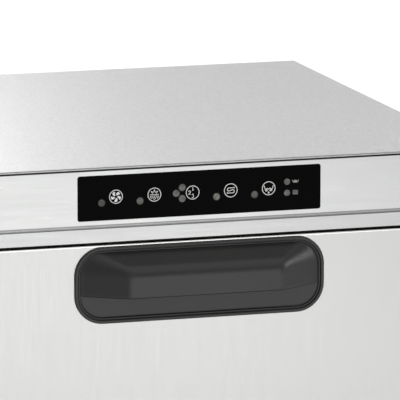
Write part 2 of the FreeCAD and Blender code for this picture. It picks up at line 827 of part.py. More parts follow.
def control_overlay():
    """Black front of the controls, seated in the fascia, with a hole for each key and lamp."""
    overlay = body("control_overlay")
    low, high = "overlay_low", "overlay_top"
    half = "overlay_w / 2"
    slab(overlay, "XZ", "front + casing_t", "overlay_y",
         rounded((f"-{half} + overlay_fit", f"{half} - overlay_fit"),
                 (low + " + overlay_fit", high + " - overlay_fit"), "overlay_r - overlay_fit"))
    slab(overlay, "XZ", "front + casing_t", "overlay_back",
         rect((f"-{half} - overlay_lip", f"{half} + overlay_lip"),
              (low + " - overlay_lip", high + " + overlay_lip")))
    holes = [(x, "key_z", "key_d / 2 + key_fit") for name, x in key_places()]
    holes += [(x, z, f"{d} / 2") for x, z, d in lamp_places()]
    carve(overlay, "XZ", "overlay_y", "overlay_back", *holes)
    return overlay


def key_caps():
    """Round keys with a retaining lip and a stem that reaches the switch."""
    made = []
    for name, x in key_places():
        outline = [
            ("0", "0"), ("key_d * 0.48", "0"), ("key_d / 2", "key_d * 0.02"), ("key_d / 2", "overlay_t"),
            ("key_d / 2 + key_lip", "overlay_t"), ("key_d / 2 + key_lip", "overlay_t + key_lip_t"),
            ("key_stem_d / 2", "overlay_t + key_lip_t"), ("key_stem_d / 2", "switch_face"), ("0", "switch_face"),
        ]
        made.append(turned(name, "y", (x, "overlay_y", "key_z"), outline))
    return made


def indicator_lenses():
    """Light guides from the board to the face of the overlay."""
    lenses = []
    for index, (x, z, d) in enumerate(lamp_places()):
        outline = [
            ("0", "0"), (f"{d} / 2 - lamp_fit", "0"), (f"{d} / 2 - lamp_fit", "overlay_t"),
            ("guide_d / 2", "overlay_t"), ("guide_d / 2", "board_in - overlay_inset - guide_gap"),
            ("0", "board_in - overlay_inset - guide_gap"),
        ]
        lenses.append(turned(f"lens_{index}", "y", (x, "overlay_y", z), outline))
    return together("indicator_lenses", *lenses)


def housing_walls():
    """Outer limits of the housing behind the overlay."""
    reach = "overlay_w / 2 + overlay_lip"
    return (f"-({reach})", reach), ("overlay_low - overlay_lip", "overlay_top + overlay_lip")


def board_housing():
    """Moulded tray that closes the rear of the controls and carries the board on four posts."""
    housing = body("board_housing")
    x, z = housing_walls()
    slab(housing, "XZ", "overlay_back", "front + housing_d", rect(x, z))
    carve(housing, "XZ", "overlay_back", "front + housing_d - housing_t",
          rect((x[0] + " + housing_t", x[1] + " - housing_t"), (z[0] + " + housing_t", z[1] + " - housing_t")))
    posts = [(f"{sign} * (overlay_w / 2 - post_in)", level, "post_r")
             for sign in (-1, 1) for level in ("overlay_low + post_in", "overlay_top - post_in")]
    slab(housing, "XZ", "front + housing_d - housing_t", "board_y + board_t", *posts)
    return housing


def control_board():
    """Circuit board with a push switch behind each key."""
    x, z = housing_walls()
    plate = block("board_plate", (x[0] + " + board_edge", x[1] + " - board_edge"),
                  ("board_y", "board_y + board_t"), (z[0] + " + board_edge", z[1] + " - board_edge"))
    switches = [block("switch_" + name, (f"{place} - switch_w / 2", f"{place} + switch_w / 2"),
                      ("board_y - switch_h", "board_y"), ("key_z - switch_w / 2", "key_z + switch_w / 2"))
                for name, place in key_places()]
    relays = [block(f"relay_{step + 2}", (f"{step} * relay_dx - relay_w / 2", f"{step} * relay_dx + relay_w / 2"),
                    ("board_y + board_t", "board_y + board_t + relay_h"),
                    ("key_z - relay_z / 2", "key_z + relay_z / 2")) for step in range(-2, 3)]
    return fuse("control_board", plate, *switches, *relays)


# Door


def door_outer_skin():
    """Front skin of the door, folded to a tray open to the rear, cut out for the handle and hinges."""
    skin = body("door_outer_skin")
    slab(skin, "XZ", "front", "door_back - skin_t", rect(("-door_half", "door_half"), ("door_low", "door_top")))
    ease(skin, "skin_t * 1.2", lambda middle, way, edge: middle.y < number("front") + 0.01)
    carve(skin, "XZ", "door_back - skin_t", "front + skin_t",
          rect(("-door_half + skin_t", "door_half - skin_t"), ("door_low + skin_t", "door_top - skin_t")))
    carve(skin, "XZ", "front", "front + skin_t", handle_outline("rim_lap"))
    for sign in (-1, 1):
        carve(skin, "XY", "door_low", "door_low + skin_t",
              hinge_slot(sign, "pin_y - eye_d / 2 - bracket_play / 2", "door_back"))
    return skin


def hinge_slot(sign, low, high):
    """Opening for one hinge bracket, with play at each side."""
    return rect((f"{sign} * bracket_x - cheek", f"{sign} * bracket_x + cheek"), (low, high))


def door_inner_skin():
    """Rear skin of the door with a shallow pressed field, slotted for the hinge brackets."""
    skin = body("door_inner_skin")
    edge = "door_half - skin_t - inner_fit"
    slab(skin, "XZ", "door_back - skin_t", "door_back",
         rect((f"-({edge})", edge), ("door_low + skin_t + inner_fit", "door_top - skin_t - inner_fit")))
    half = "mouth_w / 2 - field_in"
    field = rect((f"-({half})", half), ("mouth_low + field_up", "mouth_top - field_in"))
    pan = rect((f"-({half}) - skin_t", f"{half} + skin_t"),
               ("mouth_low + field_up - skin_t", "mouth_top - field_in + skin_t"))
    slab(skin, "XZ", "door_back - skin_t", "door_back - 2 * skin_t - field_d", pan)
    carve(skin, "XZ", "door_back", "door_back - skin_t - field_d", field)
    for sign in (-1, 1):
        carve(skin, "XZ", "door_back", "door_back - skin_t",
              hinge_slot(sign, "door_low", "pin_z + bracket_h / 2 + skin_t + bracket_play"))
    return skin


def handle_outline(inset):
    """Outline of the handle, moved inwards."""
    return rounded((f"-handle_half + {inset}", f"handle_half - ({inset})"),
                   (f"handle_low + {inset}", f"handle_top - ({inset})"), f"handle_r - ({inset})")


def door_handle():
    """One moulding: a rounded rim, a shallow tub and a hood that is open below."""
    rim = body("grip_rim")
    slab(rim, "XZ", "front", "front - rim_out", handle_outline("0"))
    carve(rim, "XZ", "front - rim_out", "front", handle_outline("bead_w"))
    ease(rim, "bead_w * 0.38", lambda middle, way, edge: middle.y < number("front - rim_out") + 0.01)
    tub = body("grip_tub")
    slab(tub, "XZ", "front", "front + tub_in + tub_t", handle_outline("rim_lap + tub_fit"))
    well = body("grip_well")
    slab(well, "XZ", "front - rim_out", "front + tub_in", handle_outline("bead_w"))
    above = block("grip_above", ("-handle_half", "handle_half"), ("front - 2 * rim_out", "front + 2 * tub_in"),
                  ("body_h - hood_low", "handle_top"))
    hood = frustum("grip_hood", "hood_half", "hood_top", "hood_low", "hood_front_half", "hood_front_top",
                   "handle_out", "hood_corner", "hood_edge")
    inner = "hood_wall * 1.2"
    room = frustum("grip_room", f"hood_half - {inner}", f"hood_top + {inner}", "hood_low + hood_wall / 5",
                   "hood_front_half + hood_wall * 0.5", "hood_front_top + hood_wall * 0.5",
                   "handle_out - hood_wall", "hood_corner - hood_wall", "hood_edge - hood_wall")
    behind = block("grip_behind", (f"-hood_half + {inner} + hood_edge", f"hood_half - {inner} - hood_edge"),
                   ("front", "front + tub_in"),
                   ("body_h - hood_low", f"body_h - hood_top - {inner} - 2 * hood_wall"))
    shell = cut("grip_shell", fuse("grip_rim_and_tub", rim, tub), cut("grip_low_well", well, above))
    return cut("door_handle", fuse("grip_and_hood", shell, hood), room, behind)


def frustum(name, half, top, low, front_half, front_top, out, corner, edge_r):
    """A hood: wide at the door face, narrower in front, with rounded corners and front edge."""
    piece = body(name)
    back = sketch(piece, "XZ", "front", [rect((f"-({half})", half), (f"body_h - ({low})", f"body_h - ({top})"))])
    face = sketch(piece, "XZ", f"front - ({out})",
                  [rect((f"-({front_half})", front_half), (f"body_h - ({low})", f"body_h - ({front_top})"))])
    loft = piece.newObject("PartDesign::AdditiveLoft", name + "_loft")
    loft.Profile = back
    loft.Sections = [face]
    loft.Ruled = True
    piece.Tip = loft
    sole = number(f"body_h - ({low})") + 0.01
    ease(piece, corner, lambda middle, way, edge: abs(way.y) > 0.3 and middle.z > sole)
    brow = number(f"front - ({out})") + 0.01
    ease(piece, edge_r, lambda middle, way, edge: middle.y < brow and middle.z > sole)
    return piece


def hinge_parts():
    """Brackets on the chamber flange, arms in the door, and the pins and coil springs between them."""
    brackets = []
    arms = []
    pins = []
    springs = []
    for name, sign in (("left", -1), ("right", 1)):
        mid = f"{sign} * bracket_x"
        low_x, high_x = f"{mid} - bracket_t / 2", f"{mid} + bracket_t / 2"
        bracket = fuse(
            "bracket_blank_" + name,
            block("bracket_bar_" + name, (low_x, high_x), ("pin_y", "flange_y"),
                  ("pin_z - bracket_h / 2", "pin_z + bracket_h / 2")),
            rod("bracket_eye_" + name, "x", (low_x, "pin_y", "pin_z"), "eye_d / 2", "bracket_t"),
            block("bracket_foot_" + name, (f"{mid} - foot_plate_w / 2", f"{mid} + foot_plate_w / 2"),
                  ("flange_y - foot_plate_t", "flange_y"), ("panel_top + casing_t", "pin_z + foot_plate_w")))
        bore = rod("bracket_bore_" + name, "x", (low_x, "pin_y", "pin_z"), "pin_d / 2 + pin_fit", "bracket_t")
        brackets.append(cut("hinge_bracket_" + name, bracket, bore))

        plates = [
            block(f"arm_plate_{name}_{side}", (f"{mid} + {x0}", f"{mid} + {x1}"),
                  ("front + skin_t + arm_t", "pin_y + arm_reach"),
                  ("door_low + skin_t", "door_low + skin_t + arm_h * 0.8"))
            for side, x0, x1 in (("a", "cheek", "cheek + arm_t"), ("b", "-cheek - arm_t", "-cheek"))]
        web = block("arm_web_" + name, (f"{mid} - cheek - arm_t", f"{mid} + cheek + arm_t"),
                    ("front + skin_t", "front + skin_t + arm_t"),
                    ("door_low + skin_t", "door_low + skin_t + arm_h"))
        arm_bore = rod("arm_bore_" + name, "x", (f"{mid} - 2 * cheek", "pin_y", "pin_z"), "pin_d / 2 + pin_fit",
                       "4 * cheek")
        arms.append(cut("hinge_arm_" + name, fuse("arm_blank_" + name, web, *plates), arm_bore))

        inner_end = f"{mid} - {sign} * (cheek + arm_t + spring_len + pin_end)"
        outer_end = f"{mid} + {sign} * (cheek + arm_t + pin_end)"
        ends = [inner_end, outer_end] if sign > 0 else [outer_end, inner_end]
        pins.append(rod("hinge_pin_" + name, "x", (ends[0], "pin_y", "pin_z"), "pin_d / 2",
                        f"({ends[1]}) - ({ends[0]})"))
        springs.append(hinge_spring(name, sign))
    return [
        together("hinge_brackets", *brackets), together("hinge_arms", *arms),
        together("hinge_pins", *pins), together("hinge_springs", *springs),
    ]


def hinge_spring(name, sign):
    """A close coil round the pin, beside the hinge arm."""
    pitch = number("spring_wire") * 1.1
    turns = number("spring_turns")
    radius = number("spring_d - spring_wire") / 2
    helix = Part.makeHelix(pitch, pitch * turns, radius)
    start = V(radius, 0, 0)
    slope = V(0, 1, pitch / (2 * math.pi * radius))
    ring = Part.Wire([Part.Circle(start, slope, number("spring_wire") / 2).toShape()])
    coil = Part.Wire(helix.Edges).makePipeShell([ring], True, True)
    spring = doc.addObject("Part::Feature", "hinge_spring_" + name)
    spring.Shape = coil
    side = number("cheek + arm_t + spring_wire / 2 + inner_fit")
    place = V(sign * (number("bracket_x") - side), number("pin_y"), number("pin_z"))
    spring.Placement = FreeCAD.Placement(place, TURNS["-x" if sign > 0 else "x"])
    return spring


def door_catch():
    """Two magnet catches on the chamber flange."""
    catches = [block(f"catch_{index}", (f"{x} - catch_w / 2", f"{x} + catch_w / 2"),
                     ("door_back + seal_gap", "flange_y"),
                     ("mouth_top + seal_off + seal_w + skin_t", "door_top - skin_t"))
               for index, x in enumerate(("-catch_x", "catch_x"))]
    return together("door_catch", *catches)


# Wash chamber


def wash_chamber():
    """Deep-drawn chamber with a mouth at the front, a tank opening below and a front flange."""
    room = body("wash_chamber")
    wall = "casing_t"
    slab(room, "XZ", "wall_y", "room_back + casing_t",
         rounded((f"-room_w / 2 - {wall}", f"room_w / 2 + {wall}"), (f"room_floor - {wall}", f"room_top + {wall}"),
                 f"room_r + {wall}"))
    carve(room, "XZ", "wall_y", "room_back",
          rounded(("-room_w / 2", "room_w / 2"), ("room_floor", "room_top"), "room_r"))
    flange = rect(("-side + flange_in", "side - flange_in"), ("panel_top - flange_down", "strip_low + flange_lap"))
    mouth = rounded(("-mouth_w / 2", "mouth_w / 2"), ("mouth_low", "mouth_top"), "room_r")
    slab(room, "XZ", "wall_y", "flange_y", flange, mouth)
    carve(room, "XY", "room_floor", "room_floor - casing_t",
          rect(("-tank_w / 2", "tank_w / 2"), ("centre_y - tank_len / 2", "centre_y + tank_len / 2")))
    carve(room, "XY", "room_top + casing_t", "room_top", ("0", "centre_y", "cap_d / 2 + post_fit"))
    return room


def tank_sump():
    """Tank hung under the chamber floor, with holes for the hub, suction, drain and heater."""
    tank = body("tank_shell")
    half, long = "tank_w / 2", "tank_len / 2"
    slab(tank, "XY", "tank_under", "room_floor - casing_t",
         rect((f"-{half} - casing_t", f"{half} + casing_t"),
              (f"centre_y - {long} - casing_t", f"centre_y + {long} + casing_t")))
    ease(tank, "tank_r + casing_t", lambda middle, way, edge: middle.z < number("room_floor - casing_t") - 0.01)
    slab(tank, "XY", "room_floor - 2 * casing_t", "room_floor - casing_t",
         rect((f"-{half} - tank_lip", f"{half} + tank_lip"),
              (f"centre_y - {long} - tank_lip", f"centre_y + {long} + tank_lip")))
    hollow = body("tank_room")
    slab(hollow, "XY", "tank_floor", "room_floor - casing_t",
         rect((f"-{half}", half), (f"centre_y - {long}", f"centre_y + {long}")))
    ease(hollow, "tank_r", lambda middle, way, edge: middle.z < number("room_floor - casing_t") - 0.01)
    holes = [
        rod("hub_hole", "z", ("0", "centre_y", "tank_under"), "post_d / 2 + post_fit", "2 * casing_t"),
        rod("suction_hole", "z", ("hose_x", "pump_line", "tank_under"), "hose_d / 2 - hose_t", "2 * casing_t"),
        rod("drain_hole", "z", ("drain_x", "drain_line", "tank_under"), "stand_d / 2 - 2 * stand_t",
            "2 * casing_t"),
        rod("heater_hole", "y", ("heater_x", f"centre_y + {long} - casing_t", "heater_z"), "heater_port_d / 2",
            "3 * casing_t"),
    ]
    return cut("tank_sump", tank, hollow, *holes)


def chamber_gasket():
    """Door seal: a rectangular ring on the chamber flange."""
    seal = body("chamber_gasket")
    inner = "seal_off"
    outer = "seal_off + seal_w"
    rings = [rounded((f"-mouth_w / 2 - ({reach})", f"mouth_w / 2 + {reach}"),
                     (f"mouth_low - ({reach})", f"mouth_top + {reach}"), f"room_r + {reach}")
             for reach in (outer, inner)]
    slab(seal, "XZ", "flange_y", "door_back + seal_gap", *rings)
    return seal


def rack_rail(name, sign):
    """Angle rail on a side wall of the chamber."""
    rail = body(name)
    wall = "room_w / 2"
    profile = [
        (wall, "rail_z"), (f"{wall} - rail_w", "rail_z"), (f"{wall} - rail_w", "rail_z - rail_t"),
        (f"{wall} - rail_t", "rail_z - rail_t"), (f"{wall} - rail_t", "rail_z - rail_leg"),
        (wall, "rail_z - rail_leg"),
    ]
    slab(rail, "XZ", "wall_y + rail_end", "room_back - rail_end", [(f"{sign} * ({x})", z) for x, z in profile])
    return rail


def tank_filter(name, sign):
    """Flat strainer plate over one half of the tank, with the hub's notch."""
    plate = body(name)
    inner, outer = "filter_gap", "tank_w / 2 + filter_lap"
    y = ("centre_y - tank_len / 2 - filter_lap", "centre_y + tank_len / 2 + filter_lap")
    x = (f"{sign} * {inner}", f"{sign} * ({outer})")
    slab(plate, "XY", "room_floor", "room_floor + filter_t", rect(x if sign > 0 else x[::-1], y))
    drain = ("drain_x", "drain_line", "stand_d / 2 + stand_grip")
    cup = ("strainer_x", "strainer_line", "strainer_d / 2")
    for hole in (("0", "centre_y", "post_d / 2 + filter_gap * 4"), cup if sign > 0 else drain):
        carve(plate, "XY", "room_floor", "room_floor + filter_t", hole)
    return plate


def strainer_basket():
    """Cup strainer that hangs in the right-hand filter plate by its rim."""
    rim = "strainer_d / 2 + 2 * filter_t"
    wall = "strainer_d / 2 - filter_gap * 2"
    top = "2 * filter_t"
    cup = [
        ("0", "-strainer_deep"), (wall, "-strainer_deep"), (wall, "filter_t"), (rim, "filter_t"),
        (rim, top), (f"{wall} - filter_t", top), (f"{wall} - filter_t", "-strainer_deep + filter_t"),
        ("0", "-strainer_deep + filter_t"),
    ]
    return turned("strainer_basket", "z", ("strainer_x", "strainer_line", "room_floor"), cup)


def overflow_pipe():
    """Standpipe in the drain, pulled out by its ring to empty the tank."""
    outline = [
        ("stand_d / 2 - stand_t", "0"), ("stand_d / 2", "0"), ("stand_d / 2", "tank_deep + 3 * stand_grip"),
        ("stand_d / 2 + stand_grip", "tank_deep + 3.5 * stand_grip"),
        ("stand_d / 2 + stand_grip", "tank_deep + 4 * stand_grip"),
        ("stand_d / 2 - stand_t", "tank_deep + 4 * stand_grip"),
    ]
    return turned("overflow_pipe", "z", ("drain_x", "drain_line", "tank_floor"), outline)


# Wash system


def stage_heights(length_up):
    """Heights on a hub, from its flange: wash arm, rinse arm and nut."""
    wash_low = length_up
    wash_top = f"{wash_low} + wash_thick"
    rinse_low = f"{wash_top} + 2 * arm_gap"
    rinse_top = f"{rinse_low} + rinse_tube"
    return wash_low, wash_top, rinse_low, rinse_top


def hub_outline(stage, foot):
    """Stepped spindle that carries a wash arm and a rinse arm."""
    wash_low, wash_top, rinse_low, rinse_top = stage_heights(stage)
    return foot + [
        ("post_d / 2", f"{wash_low} - arm_gap"), ("spindle_d / 2", f"{wash_low} - arm_gap"),
        ("spindle_d / 2", f"{wash_top} + arm_gap"), ("rinse_d / 2", f"{wash_top} + arm_gap"),
        ("rinse_d / 2", f"{rinse_top} + arm_gap + nut_t"),
        ("rinse_d / 2 - neck_wall", f"{rinse_top} + arm_gap + nut_t"),
    ]


def lower_manifold():
    """Post from the delivery pipe through the tank to the lower arms."""
    foot = [
        ("rinse_d / 2 - neck_wall", "branch_top - room_floor"), ("post_d / 2", "branch_top - room_floor"),
        ("post_d / 2", "tank_floor - room_floor"), ("post_d / 2 + collar_w", "tank_floor - room_floor"),
        ("post_d / 2 + collar_w", "tank_floor - room_floor + collar_t"),
        ("post_d / 2", "tank_floor - room_floor + collar_t"),
    ]
    return turned("lower_manifold", "z", ("0", "centre_y", "room_floor"), hub_outline("stage_up", foot))


def upper_manifold():
    """Hub under the ceiling for the upper arms."""
    foot = [
        ("rinse_d / 2 - neck_wall", "-casing_t - cap_up"), ("cap_d / 2", "-casing_t - cap_up"), ("cap_d / 2", "0"),
        ("cap_d / 2 + cap_lip", "0"), ("cap_d / 2 + cap_lip", "collar_t"), ("post_d / 2", "collar_t"),
    ]
    return turned("upper_manifold", "-z", ("0", "centre_y", "room_top"), hub_outline("stage_down", foot))


def arm_nuts():
    """Nuts that keep the arms on their spindles."""
    made = []
    for name, axis, level, stage in (("lower", "z", "room_floor", "stage_up"),
                                     ("upper", "-z", "room_top", "stage_down")):
        top = f"{stage_heights(stage)[3]} + arm_gap"
        outline = [("rinse_d / 2", top), ("nut_d / 2", top), ("nut_d / 2", f"{top} + nut_t - 1"),
                   ("nut_d / 2 - 1", f"{top} + nut_t"), ("rinse_d / 2", f"{top} + nut_t")]
        made.append(turned("arm_nut_" + name, axis, ("0", "centre_y", level), outline))
    return together("arm_nuts", *made)


def wash_arm(name, level, sign, stage):
    """Hollow tapered arm with a row of jets on the side of the basket."""
    low = f"{level} + {sign} * ({stage})"
    high = f"{low} + {sign} * wash_thick"
    half = "wash_len / 2"
    arm = body(name + "_shell")
    taper = [
        (f"-{half}", "centre_y - wash_tip / 2"), ("0", "centre_y - wash_w / 2"), (half, "centre_y - wash_tip / 2"),
        (half, "centre_y + wash_tip / 2"), ("0", "centre_y + wash_w / 2"), (f"-{half}", "centre_y + wash_tip / 2"),
    ]
    slab(arm, "XY", low, high, taper)
    ease(arm, "wash_tip * 0.4", lambda middle, way, edge: abs(way.z) > 0.999 and abs(middle.x) > number(half) - 1)
    ease(arm, "wash_thick * 0.3", lambda middle, way, edge: abs(way.z) < 0.1)
    room = body(name + "_room")
    inset = "wash_wall * 1.5"
    inner = [
        (f"-{half} + 2 * {inset}", f"centre_y - wash_tip / 2 + 2 * {inset}"),
        ("0", f"centre_y - wash_w / 2 + 2 * {inset}"),
        (f"{half} - 2 * {inset}", f"centre_y - wash_tip / 2 + 2 * {inset}"),
        (f"{half} - 2 * {inset}", f"centre_y + wash_tip / 2 - 2 * {inset}"),
        ("0", f"centre_y + wash_w / 2 - 2 * {inset}"),
        (f"-{half} + 2 * {inset}", f"centre_y + wash_tip / 2 - 2 * {inset}"),
    ]
    slab(room, "XY", f"{low} + {sign} * {inset}", f"{high} - {sign} * {inset}", inner)
    axis = "z" if sign > 0 else "-z"
    hub = rod(name + "_hub", axis, ("0", "centre_y", low), "spindle_d / 2 + 4", "wash_thick")
    bore = rod(name + "_bore", axis, ("0", "centre_y", low), "spindle_d / 2 + spin_fit", "wash_thick")
    jets = [rod(f"{name}_jet_{step}", axis, (f"{step} * jet_pitch + {'6' if step > 0 else '-14'}", "centre_y",
                                             f"{high} - {sign} * 2 * {inset}"), "jet_d / 2", f"3 * {inset}")
            for step in (-6, -5, -4, -3, -2, -1, 1, 2, 3, 4, 5, 6)]
    return cut(name, fuse(name + "_whole", cut(name + "_tube", arm, room), hub), bore, *jets)


def rinse_arm(name, level, sign, stage):
    """Round tube with a hub, set across the wash arm."""
    wash_low, wash_top, rinse_low, rinse_top = stage_heights(stage)
    middle = f"{level} + {sign} * ({rinse_low} + rinse_tube / 2)"
    axis = "z" if sign > 0 else "-z"
    low = f"{level} + {sign} * ({rinse_low})"
    tube_out = rod(name + "_tube", "y", ("0", "centre_y - rinse_len / 2", middle), "rinse_tube / 2", "rinse_len")
    ball = rod(name + "_hub", axis, ("0", "centre_y", low), "rinse_d / 2 + 4 * rinse_wall", "rinse_tube")
    tube_in = rod(name + "_in", "y", ("0", "centre_y - rinse_len / 2 + 2 * rinse_wall", middle),
                  "rinse_tube / 2 - rinse_wall", "rinse_len - 4 * rinse_wall")
    core = rod(name + "_core", axis, ("0", "centre_y", low), "rinse_d / 2 + 2 * rinse_wall", "rinse_tube")
    bore = rod(name + "_bore", axis, ("0", "centre_y", low), "rinse_d / 2 + spin_fit", "rinse_tube")
    jets = [rod(f"{name}_jet_{step}", axis, ("0", f"centre_y + {step} * 50 - {step / abs(step) * 20}", middle),
                "1.2", "rinse_tube") for step in (-4, -3, -2, -1, 1, 2, 3, 4)]
    hollow = cut(name + "_hollow", tube_out, tube_in, *jets)
    return cut(name, fuse(name + "_whole", cut(name + "_open", hollow, core), ball), bore)


def riser_pipe():
    """Delivery pipe: under the tank, up the rear of the chamber and forward to the upper hub."""
    run = [
        ("0", "pump_line + spigot_len", "delivery_z"), ("0", "gap_y", "delivery_z"),
        ("0", "gap_y", "hub_z + pipe_d"),
        ("0", "centre_y", "hub_z + pipe_d"), ("0", "centre_y", "hub_z"),
    ]
    bends = ["pipe_d", "pipe_d * 0.9", "pipe_d * 0.8"]
    pipe = tube("riser_tube", run, bends, "pipe_d", "pipe_wall")
    branch = rod("riser_branch", "z", ("0", "centre_y", "delivery_z"), "pipe_d / 2", "branch_top - delivery_z")
    bore = rod("riser_branch_bore", "z", ("0", "centre_y", "delivery_z"), "pipe_d / 2 - pipe_wall",
               "branch_top - delivery_z")
    inside = rod("riser_bore", "y", ("0", "centre_y - pipe_d", "delivery_z"), "pipe_d / 2 - pipe_wall",
                 "2 * pipe_d")
    return cut("riser_pipe", fuse("riser_joined", pipe, branch), bore, inside)


def suction_hose():
    """Hose from the tank floor to the pump's inlet."""
    run = [
        ("hose_x", "pump_line", "tank_under"), ("hose_x", "pump_line", "pump_z"),
        ("-volute_w / 2 - inlet_len", "pump_line", "pump_z"),
    ]
    return tube("suction_hose", run, ["hose_d * 0.9"], "hose_d", "hose_t")


def wash_pump_volute():
    """Pump casing with an axial inlet and a delivery spigot to the rear, on a pedestal."""
    half = "volute_w / 2"
    shell = rod("volute_shell", "x", (f"-{half}", "pump_line", "pump_z"), "volute_d / 2", "volute_w")
    room = rod("volute_room", "x", (f"-{half} + volute_t", "pump_line", "pump_z"), "volute_d / 2 - volute_t",
               "volute_w - 2 * volute_t")
    end = (f"-{half} - inlet_len", "pump_line", "pump_z")
    inlet = rod("volute_inlet", "x", end, "hose_d / 2", "inlet_len + volute_t / 2")
    inlet_bore = rod("volute_inlet_bore", "x", end, "hose_d / 2 - volute_t", "inlet_len + 2 * volute_t")
    spigot = rod("volute_spigot", "y", ("0", "pump_line", "delivery_z"), "pipe_d / 2 + volute_t / 2", "spigot_len")
    spigot_bore = rod("volute_spigot_bore", "y", ("0", "pump_line", "delivery_z"), "pipe_d / 2 - pipe_wall",
                      "spigot_len")
    foot = block("volute_foot", (f"-{half} + volute_t", f"{half} - volute_t"),
                 ("pump_line - volute_d / 3", "pump_line + volute_d / 3"), ("tray_z", "pump_z - volute_d * 0.42"))
    solid = fuse("volute_solid", shell, inlet, spigot, foot)
    return cut("wash_pump_volute", solid, room, inlet_bore, spigot_bore)


def wash_pump_motor():
    """Ribbed motor flanged to the pump, on its own foot, with a terminal box."""
    start = "volute_w / 2"
    axis = "pump_line", "pump_z"
    can = rod("motor_can", "x", (start, *axis), "motor_d / 2 - fin_h", "motor_len")
    flange = rod("motor_flange", "x", (start, *axis), "motor_d / 2", "fin_dx")
    fins = [rod(f"motor_fin_{step}", "x", (f"{start} + (2 + {step}) * fin_dx", *axis), "motor_d / 2", "fin_t")
            for step in range(13)]
    box = block("motor_box", (f"{start} + motor_len / 4", f"{start} + motor_len * 2 / 3"),
                ("pump_line - motor_d * 0.27", "pump_line + motor_d * 0.27"),
                ("pump_z + motor_d * 0.39", "pump_z + motor_d * 0.7"))
    foot = block("motor_foot", (f"{start} + motor_len / 5", f"{start} + motor_len * 0.72"),
                 ("pump_line - motor_d * 0.35", "pump_line + motor_d * 0.35"),
                 ("tray_z", "pump_z - motor_d * 0.37"))
    return fuse("wash_pump_motor", can, flange, box, foot, *fins)


def boiler():
    """Rinse-water boiler: a lying cylinder on two saddles, with a spigot on top."""
    at = ("boiler_x", "boiler_start", "boiler_z")
    shell = rod("boiler_shell", "y", at, "boiler_d / 2", "boiler_len")
    room = rod("boiler_room", "y", ("boiler_x", "boiler_start + boiler_t", "boiler_z"), "boiler_d / 2 - boiler_t",
               "boiler_len - 2 * boiler_t")
    mouth = rod("boiler_mouth", "y", at, "heater_port_d / 2", "2 * boiler_t")
    saddles = [block(f"boiler_saddle_{step}", ("boiler_x - saddle_w / 2", "boiler_x + saddle_w / 2"),
                     (place, place + " + saddle_t"), ("tray_z", "boiler_z - boiler_d / 2 + saddle_t"))
               for step, place in enumerate(("boiler_start + saddle_in",
                                             "boiler_start + boiler_len - saddle_in - saddle_t"))]
    foot = ("boiler_x", "boiler_spigot", "boiler_z")
    spigot = rod("boiler_spigot_tube", "z", foot, "rinse_pipe_d / 2 + boiler_t", "boiler_d / 2 + spigot_up")
    spigot_bore = rod("boiler_spigot_bore", "z", foot, "rinse_pipe_d / 2 - pipe_wall", "boiler_d / 2 + spigot_up")
    return cut("boiler", fuse("boiler_solid", shell, spigot, *saddles), room, mouth, spigot_bore)


def boiler_heater():
    """Flanged immersion heater in the boiler's front end."""
    flange = rod("boiler_heater_flange", "-y", ("boiler_x", "boiler_start", "boiler_z"),
                 "heater_port_d / 2 + heater_lap", "heater_flange_t")
    cap = rod("boiler_heater_cap", "-y", ("boiler_x", "boiler_start - heater_flange_t", "boiler_z"),
              "heater_port_d / 2", "heater_cap_h")
    rods = []
    for step in (-1, 0, 1):
        x = f"boiler_x + {step} * rods_apart"
        high, low = "boiler_z + 1.5 * rod_d", "boiler_z - 1.5 * rod_d"
        run = [(x, "boiler_start", high), (x, "boiler_start + rods_len", high),
               (x, "boiler_start + rods_len", low), (x, "boiler_start", low)]
        rods.append(tube(f"boiler_rod_{step + 1}", run, ["rod_d * 1.2"] * 2, "rod_d"))
    return fuse("boiler_heater", flange, cap, *rods)


def tank_heater():
    """Looped heater near the tank floor, flanged to the tank's rear wall."""
    wall = "centre_y + tank_len / 2 + casing_t"
    flange = rod("tank_heater_flange", "y", ("heater_x", wall, "heater_z"), "heater_port_d / 2 + heater_lap",
                 "heater_flange_t")
    cap = rod("tank_heater_cap", "y", ("heater_x", wall + " + heater_flange_t", "heater_z"),
              "heater_port_d / 2", "heater_cap_h")
    left, right = "heater_x - tank_rods_w / 2", "heater_x + tank_rods_w / 2"
    run = [(left, wall, "heater_z"), (left, wall + " - tank_rods_len", "heater_z"),
           (right, wall + " - tank_rods_len", "heater_z"), (right, wall, "heater_z")]
    loop = tube("tank_heater_loop", run, ["tank_rods_w * 0.4"] * 2, "rod_d")
    return fuse("tank_heater", flange, cap, loop)


def drain_pump():
    """Pump under the drain, with its outlet to the rear."""
    at = ("drain_x", "drain_line")
    outline = [
        ("0", "-drain_pump_h"), ("drain_pump_d / 3", "-drain_pump_h"),
        ("drain_pump_d / 3", "-drain_pump_h * 0.54"),
        ("drain_pump_d / 2", "-drain_pump_h * 0.5"), ("drain_pump_d / 2", "-drain_pump_h * 0.22"),
        ("stand_d / 2", "-drain_pump_h * 0.16"), ("stand_d / 2", "0"), ("stand_d / 2 - 2 * stand_t", "0"),
        ("stand_d / 2 - 2 * stand_t", "-drain_pump_h * 0.18"), ("0", "-drain_pump_h * 0.18"),
    ]
    case = turned("drain_pump_case", "z", (*at, "tank_under"), outline)
    outlet_at = ("drain_x + drain_pump_d / 4", "drain_line", "tank_under - drain_pump_h * 0.36")
    outlet = rod("drain_pump_outlet", "y", outlet_at, "outlet_d / 2", "drain_pump_d * 0.84")
    return fuse("drain_pump", case, outlet)


